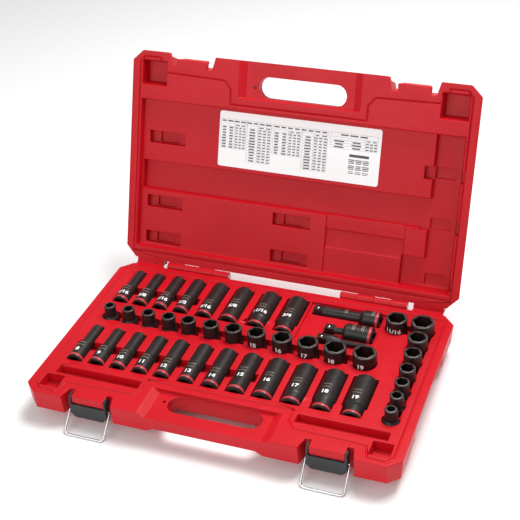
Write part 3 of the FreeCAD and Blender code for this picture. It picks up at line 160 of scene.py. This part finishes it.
class Tree:
    def __init__(self, tree):
        self.tree = tree

    def plug(self, socket, value):
        if isinstance(value, Wire):
            self.tree.links.new(value.socket, socket)
        elif value is not None:
            socket.default_value = value

    def add(self, kind, settings=None, inputs=None, output=0):
        node = self.tree.nodes.new(kind)
        for name, value in (settings or {}).items():
            setattr(node, name, value)
        for name, value in (inputs or {}).items():
            self.plug(node.inputs[name], value)
        return Wire(self, node.outputs[output]) if node.outputs else node

    def noise(self, place, scale, detail=3.0, roughness=0.5):
        return self.add("ShaderNodeTexNoise", None, {"Vector": place, "Scale": scale, "Detail": detail,
                                                     "Roughness": roughness})

    def ramp(self, value, low, high):
        """The value stretched so that low becomes 0 and high becomes 1."""
        return self.add("ShaderNodeMapRange", None, {"Value": value, "From Min": low, "From Max": high})

    def mix(self, share, first, second):
        node = self.tree.nodes.new("ShaderNodeMix")
        node.data_type = "RGBA"
        self.plug(node.inputs[0], share)
        self.plug(node.inputs[6], (*first, 1) if isinstance(first, tuple) else first)
        self.plug(node.inputs[7], (*second, 1) if isinstance(second, tuple) else second)
        return Wire(self, node.outputs[2])


BUMP = 0.6


def material(name, build, metallic=0.0, coat=0.0, gleam=0.5):
    """A principled material. build(tree, place) returns its colour, roughness and height."""
    made = bpy.data.materials.new(name)
    made.use_nodes = True
    tree = Tree(made.node_tree)
    shader = made.node_tree.nodes["Principled BSDF"]
    shader.inputs["Metallic"].default_value = metallic
    shader.inputs["Coat Weight"].default_value = coat
    shader.inputs["Specular IOR Level"].default_value = gleam
    place = tree.add("ShaderNodeTexCoord", output="Object")
    colour, roughness, height, depth = build(tree, place)
    tree.plug(shader.inputs["Base Color"], colour)
    tree.plug(shader.inputs["Roughness"], roughness)
    if height is not None:
        bump = tree.add("ShaderNodeBump", None, {"Height": height, "Strength": BUMP, "Distance": depth})
        tree.plug(shader.inputs["Normal"], bump)
    return made


print("shader arithmetic is ready")


# %% [markdown]
# ## Finishes
# The case is blow-moulded polyethylene: a strong, slightly waxy red with a very fine grain and cloudy patches of
# gloss. The sockets are steel with an oiled phosphate coat, brown-black and almost matt, and the coat is thinner and
# greyer round the mouths. Each finish varies two or three things a little; a flat colour would look like paper.

# %% Finishes
def red_plastic(tree, place):
    cloud = tree.noise(place, 14, 4)
    grain = tree.noise(place, 1900, 2)
    colour = tree.mix(tree.ramp(cloud, 0.3, 0.7), (0.50, 0.0035, 0.010), (0.55, 0.0055, 0.014))
    smear = tree.noise(place, 55, 5, 0.7)
    return colour, 0.33 + 0.12 * tree.ramp(smear, 0.3, 0.7), grain + 0.6 * smear, 0.00012


def lever_plastic(tree, place):
    grain = tree.noise(place, 2400, 2)
    colour = tree.mix(tree.ramp(tree.noise(place, 90, 4), 0.35, 0.65), (0.012, 0.0125, 0.014), (0.020, 0.021, 0.024))
    return colour, 0.42 + 0.14 * tree.noise(place, 240, 4), grain, 0.00018


def phosphate(tree, place):
    coat = tree.noise(place, 260, 6, 0.65)
    grain = tree.noise(place, 3200, 2)
    colour = tree.mix(tree.ramp(coat, 0.35, 0.65), (0.013, 0.0118, 0.0110), (0.025, 0.0228, 0.0212))
    return colour, 0.34 + 0.16 * coat, grain, 0.00009


def thin_phosphate(tree, place):
    coat = tree.noise(place, 480, 6, 0.7)
    colour = tree.mix(tree.ramp(coat, 0.3, 0.7), (0.050, 0.047, 0.044), (0.105, 0.100, 0.095))
    return colour, 0.34 + 0.16 * coat, tree.noise(place, 3200, 2), 0.00008


def zinc(tree, place):
    spangle = tree.noise(place, 700, 5, 0.6)
    colour = tree.mix(spangle, (0.56, 0.56, 0.57), (0.74, 0.74, 0.76))
    return colour, 0.20 + 0.16 * spangle, tree.noise(place, 2600, 2), 0.00005


def ball_steel(tree, place):
    colour = tree.mix(tree.noise(place, 900, 3), (0.78, 0.78, 0.79), (0.86, 0.86, 0.87))
    return colour, 0.12 + 0.05 * tree.noise(place, 1200, 3), None, 0


def band_red(tree, place):
    wear = tree.noise(place, 420, 4)
    colour = tree.mix(wear, (0.46, 0.025, 0.037), (0.58, 0.048, 0.060))
    return colour, 0.30 + 0.15 * wear, tree.noise(place, 2000, 2), 0.00005


def white_paint(tree, place):
    print_wear = tree.noise(place, 1500, 4)
    colour = tree.mix(print_wear, (0.78, 0.78, 0.77), (0.9, 0.9, 0.89))
    return colour, 0.45 + 0.1 * print_wear, None, 0


def etched(tree, place):
    colour = tree.mix(tree.noise(place, 2200, 3), (0.24, 0.19, 0.15), (0.52, 0.44, 0.34))
    return colour, 0.5 + 0.1 * tree.noise(place, 900, 3), None, 0


def label_film(tree, place):
    cloud = tree.noise(place, 60, 3)
    colour = tree.mix(cloud, (0.95, 0.95, 0.95), (0.98, 0.98, 0.98))
    return colour, 0.28 + 0.1 * cloud, tree.noise(place, 900, 2), 0.00003


def label_ink(tree, place):
    soak = tree.noise(place, 2600, 3)
    colour = tree.mix(soak, (0.030, 0.030, 0.034), (0.10, 0.10, 0.11))
    return colour, 0.4 + 0.1 * soak, None, 0


def floor_paint(tree, place):
    colour = tree.mix(tree.noise(place, 0.7, 2), (0.93, 0.93, 0.93), (0.95, 0.95, 0.95))
    return colour, 0.6 + 0.1 * tree.noise(place, 3, 2), None, 0


RED = material("case_red", red_plastic, gleam=0.24)
BLACK = material("lever_black", lever_plastic)
PHOSPHATE = material("black_phosphate", phosphate, metallic=0.35)
THIN = material("thin_phosphate", thin_phosphate, metallic=0.75)
ZINC = material("zinc_steel", zinc, metallic=1.0)
BALL = material("ball_steel", ball_steel, metallic=1.0)
BAND = material("band_red", band_red, coat=0.2)
WHITE = material("white_paint", white_paint)
ETCH = material("etched_mark", etched, metallic=0.3)
FILM = material("label_film", label_film, coat=0.3)
INK = material("label_ink", label_ink)
floor_mesh.materials.append(material("floor_paint", floor_paint))
FINISH = {"case_red": RED, "lever_black": BLACK, "black_phosphate": PHOSPHATE, "zinc_steel": ZINC, "ball_steel": BALL,
          "label_film": FILM}
print(len(bpy.data.materials), "materials")

# %% [markdown]
# ## From CAD triangles to finished pieces
# A CAD solid arrives as loose flat triangles with knife edges. Nothing moulded or turned has those, and it is the
# small rounded edge that catches the light. So each node is copied, its triangles are merged and flattened into
# whole faces, its edges are bevelled, and the curved faces are shaded smooth up to a sharp angle.

# %% Finishing a copy of a node
WELD = 0.002 * MM
FLAT = math.radians(0.6)
NORMAL_WEIGHT = 80
SHARP = 40


def ready(mesh, name, body, materials, smooth=True):
    """A mesh made into a piece that rides on a body."""
    for finish in materials:
        mesh.materials.append(finish)
    piece = bpy.data.objects.new(name, mesh)
    bpy.context.collection.objects.link(piece)
    if smooth:
        mesh.shade_smooth()
    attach(piece, body)
    return piece


def merged(node):
    """A bmesh of a CAD node with its doubles merged and its flat areas joined."""
    work = bmesh.new()
    work.from_mesh(nodes[node].data)
    bmesh.ops.remove_doubles(work, verts=work.verts, dist=WELD)
    bmesh.ops.dissolve_limit(work, angle_limit=FLAT, verts=work.verts, edges=work.edges)
    bmesh.ops.triangulate(work, faces=work.faces, quad_method="BEAUTY", ngon_method="BEAUTY")
    return work


def plain(data):
    """The evaluated mesh of an object whose modifiers are done with; the object goes."""
    graph = bpy.context.evaluated_depsgraph_get()
    mesh = bpy.data.meshes.new_from_object(data.evaluated_get(graph))
    bpy.data.objects.remove(data)
    return mesh


def bevelled(work, name, width, segments, angle, share):
    """The bevelled mesh. share(point) is how much of the width an edge there gets."""
    weight = work.edges.layers.float.new("bevel_weight_edge")
    for edge in work.edges:
        if edge.calc_face_angle(0) > math.radians(angle):
            edge[weight] = share((edge.verts[0].co + edge.verts[1].co) / 2) if share else 1
    mesh = bpy.data.meshes.new(name)
    work.to_mesh(mesh)
    work.free()
    mesh.shade_smooth()
    holder = bpy.data.objects.new(name + "_work", mesh)
    bpy.context.collection.objects.link(holder)
    bevel = holder.modifiers.new("edges", "BEVEL")
    bevel.width = width
    bevel.segments = segments
    bevel.limit_method = "WEIGHT"
    bevel.use_clamp_overlap = False
    bevel.miter_outer = "MITER_ARC"
    bevel.loop_slide = False
    weigh = holder.modifiers.new("weigh", "WEIGHTED_NORMAL")
    weigh.mode = "FACE_AREA"
    weigh.weight = NORMAL_WEIGHT
    done = plain(holder)
    done.name = name
    return done


def sharpen(mesh):
    mesh.set_sharp_from_angle(angle=math.radians(SHARP))


def finished(node, width, segments=2, materials=None, choose=None, angle=32, share=None):
    """The finished stand-in for a CAD node. choose(face) gives a face's material number."""
    mesh = bevelled(merged(node), node + "_finished", width, segments, angle, share)
    for face in mesh.polygons:
        face.material_index = choose(face) if choose else 0
    piece = ready(mesh, node + "_finished", body_of[node], materials or [FINISH[slot_of[node]]])
    sharpen(mesh)
    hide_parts(node)
    return piece


print("ready to finish", len(nodes), "nodes")

# %% [markdown]
# ## The shells
# Base and lid are one moulding each, with soft edges everywhere. The bevel is a little over half a millimetre, which
# is what a blow mould leaves on an outside corner of this size. A bevel also fills inside corners, so round the hinge,
# where the knuckles pass each other with a few tenths of a millimetre to spare, it is kept very small.

# %% The shells
SHELL_EDGE, SHELL_ANGLE = 0.7 * MM, 25
HINGE_ZONE, HINGE_SHARE = 9 * MM, 0.15


def hinge_share(point):
    return HINGE_SHARE if math.hypot(point.y - pin.y, point.z - pin.z) < HINGE_ZONE else 1


for node in ("case_base", "case_lid"):
    shell = finished(node, SHELL_EDGE, angle=SHELL_ANGLE, share=hinge_share)
    print(shell.name, len(shell.data.polygons), "faces")

# %% [markdown]
# ## Latches, pins and accessories
# Levers are injection-moulded, the bails are bent wire, and the accessories are turned steel. They differ only in
# how round their edges are.

# %% Latches, pins and accessories
LEVER_EDGE, PIN_EDGE, TOOL_EDGE = 0.35 * MM, 0.25 * MM, 0.2 * MM
WIRE_EDGE, BALL_EDGE = 0.05 * MM, 0.02 * MM
ROUND_ANGLE = 60
for side in ("left", "right"):
    finished(f"latch_lever_{side}", LEVER_EDGE)
    finished(f"latch_bail_{side}", WIRE_EDGE, 1, angle=ROUND_ANGLE)
    finished(f"hinge_pin_{side}", PIN_EDGE)
TOOLS = ("extension_bar", "universal_joint_head", "universal_joint_ball_tang", "universal_joint_pin",
         "hex_shank_adapter")
BALLS = ("extension_detent_ball", "universal_joint_detent_ball", "adapter_detent_ball")
for node in TOOLS:
    finished(node, TOOL_EDGE)
for node in BALLS:
    finished(node, BALL_EDGE, 1, angle=ROUND_ANGLE)
print("2 latches, 2 pins,", len(TOOLS), "accessory pieces and", len(BALLS), "balls")

# %% [markdown]
# ## Sockets
# All forty share one recipe. The rim and the chamfer round the mouth get the thinner, greyer coat, because that is
# where a socket meets bolts and the coat wears first. A deep socket lies along Y with its mouth to the back, and a
# short one stands with its mouth up.

# %% Sockets
SOCKET_EDGE = 0.18 * MM
MOUTH_REACH = 1.0 * MM
FACING_MOUTH = 0.4
X_AXIS, Y_AXIS, Z_AXIS = range(3)


def mouth_chooser(node, axis):
    low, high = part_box(node)

    def choose(face):
        near = face.center[axis] > high[axis] - MOUTH_REACH
        return 1 if near and abs(face.normal[axis]) > FACING_MOUTH else 0
    return choose


for node in deep:
    finished(node, SOCKET_EDGE, 1, [PHOSPHATE, THIN], mouth_chooser(node, Y_AXIS))
for node in short:
    finished(node, SOCKET_EDGE, 1, [PHOSPHATE, THIN], mouth_chooser(node, Z_AXIS))
print(len(deep) + len(short), "sockets finished")

# %% [markdown]
# ## Growing a mesh from a tree
# Three small helpers open a Geometry Nodes tree with named inputs, close it with Realize Instances and Set Material,
# and run it once. What comes back is a plain mesh, so no modifier is left on any piece.

# %% Growing a mesh from a tree
FLOAT, INT = "NodeSocketFloat", "NodeSocketInt"


def new_tree(name, sockets):
    tree = bpy.data.node_groups.new(name, "GeometryNodeTree")
    for label, kind in sockets:
        tree.interface.new_socket(name=label, in_out="INPUT", socket_type=kind)
    tree.interface.new_socket(name="Geometry", in_out="OUTPUT", socket_type="NodeSocketGeometry")
    entry = tree.nodes.new("NodeGroupInput")
    wires = Tree(tree)
    return tree, wires, {label: Wire(wires, entry.outputs[label]) for label, kind in sockets}


def close_tree(tree, wires, geometry, finish):
    real = wires.add("GeometryNodeRealizeInstances", None, {0: geometry})
    painted = wires.add("GeometryNodeSetMaterial", None, {"Geometry": real, "Material": finish})
    exit_node = tree.nodes.new("NodeGroupOutput")
    tree.links.new(painted.socket, exit_node.inputs[0])


def grow(tree, name, values):
    """The plain mesh that a tree makes from the given inputs."""
    holder = bpy.data.objects.new(name, bpy.data.meshes.new(name))
    bpy.context.collection.objects.link(holder)
    modifier = holder.modifiers.new("grow", "NODES")
    modifier.node_group = tree
    for item in tree.interface.items_tree:
        if item.in_out == "INPUT" and item.name in values:
            modifier[item.identifier] = values[item.name]
    return plain(holder)


print("trees take inputs of", FLOAT, "and", INT)

# %% [markdown]
# ## Colour bands
# Each deep socket and two accessories carry a thin red sleeve in a turned groove near the drive end. A band is a
# rounded strip swept round a circle, the same shape at many sizes, so it is a small Geometry Nodes tree with the
# radius, the width and the thickness as inputs.

# %% Colour bands
RING_STEPS, ROUNDING = 72, 0.4
band_tree, wires, given = new_tree("band", [("Radius", FLOAT), ("Width", FLOAT), ("Thickness", FLOAT)])
ring = wires.add("GeometryNodeCurvePrimitiveCircle", {"mode": "RADIUS"},
                 {"Resolution": RING_STEPS, "Radius": given["Radius"]})
strip = wires.add("GeometryNodeCurvePrimitiveQuadrilateral", {"mode": "RECTANGLE"},
                  {"Width": given["Thickness"], "Height": given["Width"]})
rounded = wires.add("GeometryNodeFilletCurve", {"mode": "POLY"}, {
    "Curve": strip, "Radius": given["Thickness"] * ROUNDING, "Count": 2, "Limit Radius": True})
swept = wires.add("GeometryNodeCurveToMesh", None, {"Curve": ring, "Profile Curve": rounded})
close_tree(band_tree, wires, swept, BAND)


def radius_at(node, axis, place, reach=0.12 * MM):
    """The largest distance from a turned node's own axis among its points near a place along it."""
    low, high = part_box(node)
    centre = (low + high) / 2
    across = [index for index in range(3) if index != axis]
    found = [math.hypot(*(vertex.co[index] - centre[index] for index in across))
             for vertex in nodes[node].data.vertices if abs(vertex.co[axis] - place) < reach]
    return max(found)


BAND_FROM, BAND_WIDE, BAND_THICK = 1.8 * MM, 3.0 * MM, 0.3 * MM
BAND_SUNK, BAND_ROOM = 0.03 * MM, 0.1 * MM


def put_band(node, axis, start, way, body):
    """A band on a node: start is its drive end along the axis, and way points from there into the node."""
    outer = radius_at(node, axis, start + way * BAND_FROM)
    mesh = grow(band_tree, node + "_band", {
        "Radius": outer - BAND_THICK / 2 - BAND_SUNK, "Width": BAND_WIDE - BAND_ROOM, "Thickness": BAND_THICK})
    low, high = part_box(node)
    place = (low + high) / 2
    place[axis] = start + way * (BAND_FROM + BAND_WIDE / 2)
    turn = Matrix.Rotation(math.pi / 2, 4, "X" if axis == Y_AXIS else "Y")
    mesh.transform(Matrix.Translation(place) @ turn)
    work = bmesh.new()
    work.from_mesh(mesh)
    bmesh.ops.recalc_face_normals(work, faces=work.faces)
    work.to_mesh(mesh)
    work.free()
    ready(mesh, node + "_band", body, [])
    sharpen(mesh)


for node in deep:
    put_band(node, Y_AXIS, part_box(node)[0].y, 1, body_of[node])
for node in ("extension_bar", "universal_joint_head"):
    put_band(node, X_AXIS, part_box(node)[1].x, -1, body_of[node])
print(len(deep) + 2, "bands")

# %% [markdown]
# ## Size marks
# The size is printed in heavy white figures, on top of a lying socket and on the front of a standing one, with two
# faint etched lines behind it. A figure is a text object made into a mesh, cut finer, and wrapped on the cylinder:
# across becomes an angle, and the print stands a few hundredths of a millimetre proud.

# %% Size marks
PROUD = 0.04 * MM
WIDEN, BOLDEN = 1.14, 0.048
SIZE_OF_HIGH = 1.38
CURVE_STEPS = 4
LONGEST_EDGE = 0.6 * MM


def figures(text, height):
    """The flat mesh of a word, centred, with its baseline along X."""
    curve = bpy.data.curves.new("figures", "FONT")
    curve.body = text
    curve.size = height * SIZE_OF_HIGH
    curve.align_x = "CENTER"
    curve.align_y = "CENTER"
    curve.offset = height * BOLDEN
    curve.resolution_u = CURVE_STEPS
    holder = bpy.data.objects.new("figures", curve)
    bpy.context.collection.objects.link(holder)
    mesh = plain(holder)
    mesh.transform(Matrix.Diagonal((WIDEN, 1, 1, 1)))
    return mesh


def wrap(mesh, radius, turn=0.0):
    """Bend a flat mesh over a cylinder of this radius along Y, turned this far about it from the top."""
    work = bmesh.new()
    work.from_mesh(mesh)
    bmesh.ops.triangulate(work, faces=work.faces)
    long_edges = [edge for edge in work.edges if edge.calc_length() > LONGEST_EDGE]
    bmesh.ops.subdivide_edges(work, edges=long_edges, cuts=2)
    bmesh.ops.triangulate(work, faces=work.faces)
    for vertex in work.verts:
        angle = vertex.co.x / radius + turn
        vertex.co = Vector(((radius + PROUD) * math.sin(angle), vertex.co.y, (radius + PROUD) * math.cos(angle)))
    work.to_mesh(mesh)
    work.free()


def dashes(width, height, apart, seed):
    """Two broken lines, like fine etched lettering too small to read."""
    chance = random.Random(seed)
    mesh = bpy.data.meshes.new("dashes")
    corners, faces = [], []
    for row in (0, 1):
        across = -width / 2
        while across < width / 2:
            long = min(chance.uniform(0.5, 1.5) * MM, width / 2 - across)
            base = row * apart
            corners += [(across, base, 0), (across + long, base, 0), (across + long, base + height, 0),
                        (across, base + height, 0)]
            faces.append(tuple(range(len(corners) - 4, len(corners))))
            across += long + chance.uniform(0.25, 0.5) * MM
    mesh.from_pydata(corners, [], faces)
    return mesh


def joined(meshes):
    """One mesh of several, with one material number for each."""
    work = bmesh.new()
    for number, mesh in enumerate(meshes):
        start = len(work.faces)
        work.from_mesh(mesh)
        work.faces.ensure_lookup_table()
        for face in work.faces[start:]:
            face.material_index = number
    result = bpy.data.meshes.new("joined")
    work.to_mesh(result)
    work.free()
    return result


def size_text(node):
    """The figures of a size: the number alone, or the fraction."""
    return node.split("socket_")[1].replace("mm", "").replace("in", "").replace("_", "/")


print("figures like", size_text(deep[0]), "and", size_text(deep[-1]))

# %% [markdown]
# ## Placing the marks
# On a big socket the figures stand further from the drive end than on a small one, and all of them are turned a few
# degrees to the left. Small standing sockets hide theirs below the deck, but they carry them all the same.

# %% Placing the marks
FIGURE_HIGH = 5.4 * MM
BIG_RADIUS = 10.5 * MM
TURN = math.radians(-7)
ALONG_BIG, ALONG_SMALL = 22.7 * MM, 12.3 * MM
LEVEL_BIG, LEVEL_SMALL = 2.9 * MM, -3.9 * MM
BELOW_MOUTH = 0.9 * MM
DASH_WIDE, DASH_HIGH, DASH_APART, DASH_BEHIND = 9.5 * MM, 0.8 * MM, 4.6 * MM, 7.6 * MM
TOOL_DASH_APART = 2.2 * MM
rim = pin.z
SHANK_SPOT, SHANK_REACH = 11.5 * MM, 0.8 * MM
HEAD_LONG = 30
bar_shank_radius = radius_at("extension_bar", X_AXIS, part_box("extension_bar")[0].x + SHANK_SPOT, SHANK_REACH)
for index, node in enumerate(deep):
    low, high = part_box(node)
    axis_point = Vector(((low.x + high.x) / 2, 0, (low.z + high.z) / 2))
    big = (high.z - low.z) / 2 > BIG_RADIUS
    along = ALONG_BIG if big else ALONG_SMALL
    radius = (high.z - low.z) / 2 if big else radius_at(node, Y_AXIS, low.y + BAND_FROM)
    text = figures(size_text(node), FIGURE_HIGH)
    text.transform(Matrix.Translation((0, along, 0)))
    fine = dashes(DASH_WIDE, DASH_HIGH, DASH_APART, index)
    fine.transform(Matrix.Translation((0, along + DASH_BEHIND, 0)))
    marks = joined([text, fine])
    wrap(marks, radius, TURN)
    marks.transform(Matrix.Translation(axis_point + Vector((0, low.y, 0))))
    ready(marks, node + "_marks", body_of[node], [WHITE, ETCH], smooth=False)
for node in short:
    low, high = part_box(node)
    big = (high.x - low.x) / 2 > BIG_RADIUS
    level = rim + (LEVEL_BIG if big else LEVEL_SMALL)
    radius = radius_at(node, Z_AXIS, high.z - BELOW_MOUTH if big else low.z + BAND_FROM)
    text = figures(size_text(node), FIGURE_HIGH)
    wrap(text, radius, TURN)
    stand = Matrix.Rotation(math.pi / 2, 4, "X")
    place = Vector(((low.x + high.x) / 2, (low.y + high.y) / 2, level))
    text.transform(Matrix.Translation(place) @ stand)
    ready(text, node + "_marks", body_of[node], [WHITE], smooth=False)

# Each accessory's etched lines: the node, how far they are from its right end, and how wide they are, in millimetres.
for node, from_right, wide in (("extension_bar", 9.5, 9), ("extension_bar", 42, 7), ("universal_joint_head", 13, 11),
                               ("universal_joint_head", 24, 11)):
    low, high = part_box(node)
    across = high.x - from_right * MM
    fine = dashes(wide * MM, DASH_HIGH, TOOL_DASH_APART, int(from_right))
    wrap(fine, radius_at(node, X_AXIS, high.x - BAND_FROM) if from_right < HEAD_LONG else bar_shank_radius)
    fine.transform(Matrix.Translation((across, (low.y + high.y) / 2, (low.z + high.z) / 2)) @
                   Matrix.Rotation(-math.pi / 2, 4, "Z"))
    ready(fine, f"{node}_marks_{int(from_right)}", body_of[node], [ETCH], smooth=False)
print(len(deep) + len(short), "sets of figures")

# %% [markdown]
# ## The size label
# A printed film with rounded corners lies in the shallow panel of the lid. It is drawn flat, in the label's own
# right and up directions, and then carried into the open lid.

# %% The size label
closed_corners = [to_closed @ vertex.co for vertex in nodes["size_label"].data.vertices]
label_low = Vector(min(point[index] for point in closed_corners) for index in range(3))
label_high = Vector(max(point[index] for point in closed_corners) for index in range(3))
label_middle = (label_low + label_high) / 2
LABEL_WIDE, LABEL_HIGH = label_high.x - label_low.x, label_high.y - label_low.y


def on_label(lift):
    """The transform from label coordinates, right and up, to the open lid. lift is the height over the film."""
    place = Vector((label_middle.x, label_middle.y, label_low.z - lift))
    axes = Matrix(((1, 0, 0, 0), (0, -1, 0, 0), (0, 0, -1, 0), (0, 0, 0, 1)))
    return to_open @ Matrix.Translation(place) @ axes


def rounded_sheet(name, width, height, corner, thick, steps=8):
    outline = []
    for sign_x, sign_y, start in ((1, 1, 0), (-1, 1, 1), (-1, -1, 2), (1, -1, 3)):
        centre = Vector((sign_x * (width / 2 - corner), sign_y * (height / 2 - corner)))
        for step in range(steps + 1):
            angle = math.pi / 2 * (start + step / steps)
            outline.append((centre.x + corner * math.cos(angle), centre.y + corner * math.sin(angle)))
    count = len(outline)
    corners = [(x, y, 0) for x, y in outline] + [(x, y, -thick) for x, y in outline]
    faces = [tuple(range(count)), tuple(reversed(range(count, 2 * count)))]
    faces += [(place, place + count, (place + 1) % count + count, (place + 1) % count) for place in range(count)]
    mesh = bpy.data.meshes.new(name)
    mesh.from_pydata(corners, [], faces)
    return mesh


FILM_CORNER, FILM_ROOM = 3 * MM, 0.01 * MM
film = rounded_sheet("label", LABEL_WIDE, LABEL_HIGH, FILM_CORNER, (label_high.z - label_low.z) - FILM_ROOM)
film.transform(on_label(0))
sheet = ready(film, "size_label_film", "lid", [FILM], smooth=False)
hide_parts("size_label")
print("label", round(LABEL_WIDE / MM), "x", round(LABEL_HIGH / MM), "mm")

# %% [markdown]
# ## Small print
# A row of small print is a Geometry Nodes grid of points, with a bar of random length on each. At this distance
# print reads as grey bars, and these say nothing. The random values come from a seed, so each run is the same.

# %% Small print
print_tree, wires, given = new_tree("small_print", [
    ("Width", FLOAT), ("Height", FLOAT), ("Columns", INT), ("Rows", INT), ("Shortest", FLOAT), ("Longest", FLOAT),
    ("Bar", FLOAT), ("Seed", INT)])
spots = wires.add("GeometryNodeMeshGrid", None, {"Size X": given["Width"], "Size Y": given["Height"],
                                                 "Vertices X": given["Columns"], "Vertices Y": given["Rows"]})
bar = wires.add("GeometryNodeMeshGrid", None, {"Size X": 1.0, "Size Y": 1.0, "Vertices X": 2, "Vertices Y": 2})
long = wires.add("FunctionNodeRandomValue", {"data_type": "FLOAT"}, None, output=1)
random_node = long.socket.node
for label, value in (("Min", given["Shortest"]), ("Max", given["Longest"]), ("Seed", given["Seed"])):
    wires.plug(next(item for item in random_node.inputs if item.name == label and item.enabled), value)
scale = wires.add("ShaderNodeCombineXYZ", None, {"X": long, "Y": given["Bar"], "Z": 1.0})
rows = wires.add("GeometryNodeInstanceOnPoints", None, {"Points": spots, "Instance": bar, "Scale": scale})
close_tree(print_tree, wires, rows, INK)
print("print tree with", len(print_tree.nodes), "nodes")

# %% [markdown]
# ## The table on the label
# Five blocks of rows with thin rules round them, a heading over each group, and a small block of bars in the corner.
# Every measure is in the label's own frame: right and up from its middle.

# %% The table on the label
ROW_PITCH = 3.4 * MM
RULE = 0.2 * MM
TABLE_TOP = LABEL_HIGH / 2 - 17.4 * MM
HEAD_LEVEL, TITLE_LEVEL = 3.2 * MM, 8.4 * MM
LIFT = 0.03 * MM
LEAST = 0.001 * MM
SHORTEST_SHARE = 0.7
# Each block of the table: left edge, right edge, rows, and how far across the rule between its columns is.
BLOCKS = [(-98, -66, 8, 0.55), (-64.5, -34, 12, 0.44), (-32, 3, 8, 0.55), (5, 36, 12, 0.44), (39, 96, 3, 0.74)]
# Each heading: left edge, right edge and words. Each frame round a group of blocks: left and right edge.
HEADINGS = [(-98, -34, 8), (-32, 36, 8), (50, 85, 3)]
FRAMES = [(-98, -34), (-32, 36), (39, 96)]
# The corner block's rows of bars: level under the table's top, rows, and height. A tall bar stands alone.
CORNER_LEFT, CORNER_RIGHT, CORNER_PITCH = 62 * MM, 88 * MM, 1.9 * MM
CORNER = [(-17, 1, 3.2), (-22, 3, 1.1), (-29, 3, 1.1), (-36, 2, 0.8)]
TALL = 3
inks = []
rule_corners, rule_faces = [], []


def line(left, right, low, high):
    start = len(rule_corners)
    rule_corners.extend([(left, low, 0), (right, low, 0), (right, high, 0), (left, high, 0)])
    rule_faces.append((start, start + 1, start + 2, start + 3))


def bars(left, right, top, count, pitch, words, size, share, seed):
    """Rows of short printed bars between two edges: words across, count down."""
    step = (right - left) / words
    mesh = grow(print_tree, "print", {
        "Width": max(right - left - step, LEAST), "Height": max((count - 1) * pitch, LEAST), "Columns": words,
        "Rows": count, "Shortest": step * share * SHORTEST_SHARE, "Longest": step * share, "Bar": size, "Seed": seed})
    mesh.transform(Matrix.Translation(((left + right) / 2, top - (count - 1) * pitch / 2, 0)))
    inks.append(mesh)


for number, (left, right_edge, row_count, split) in enumerate(BLOCKS):
    left, right_edge = left * MM, right_edge * MM
    middle = left + (right_edge - left) * split
    first = TABLE_TOP - ROW_PITCH / 2
    bars(left, middle, first, row_count, ROW_PITCH, 1 if split < 0.5 else 2, 1.6 * MM, 0.6, number)
    bars(middle, right_edge, first, row_count, ROW_PITCH, 3, 1.3 * MM, 0.82, number + 10)
    bars(middle, right_edge, TABLE_TOP + 1.6 * MM, 1, ROW_PITCH, 2, 1.2 * MM, 0.7, number + 20)
    for row in range(row_count + 1):
        level = TABLE_TOP - row * ROW_PITCH
        line(left, right_edge, level - RULE / 2, level + RULE / 2)
    for across in (left, middle, right_edge):
        line(across - RULE / 2, across + RULE / 2, TABLE_TOP - row_count * ROW_PITCH, TABLE_TOP + TITLE_LEVEL)
for number, (left, right_edge, words) in enumerate(HEADINGS):
    bars(left * MM + RULE, right_edge * MM - RULE, TABLE_TOP + 6 * MM, 1, ROW_PITCH, words, 1.6 * MM, 0.9, number + 30)
for left, right_edge in FRAMES:
    for level in (HEAD_LEVEL, TITLE_LEVEL):
        line(left * MM, right_edge * MM, TABLE_TOP + level - RULE, TABLE_TOP + level)
for number, (top, count, size) in enumerate(CORNER):
    bars(CORNER_LEFT, CORNER_RIGHT, TABLE_TOP + top * MM, count, CORNER_PITCH, 1 if size > TALL else 3, size * MM, 0.95,
         number + 40)
rules = bpy.data.meshes.new("rules")
rules.from_pydata(rule_corners, [], rule_faces)
inks.append(rules)
for mesh in inks:
    mesh.materials.clear()
ink_mesh = joined(inks)
for face in ink_mesh.polygons:
    face.material_index = 0
ink_mesh.transform(on_label(LIFT))
ready(ink_mesh, "size_label_print", "lid", [INK], smooth=False)
print(len(ink_mesh.polygons), "printed bars and rules")
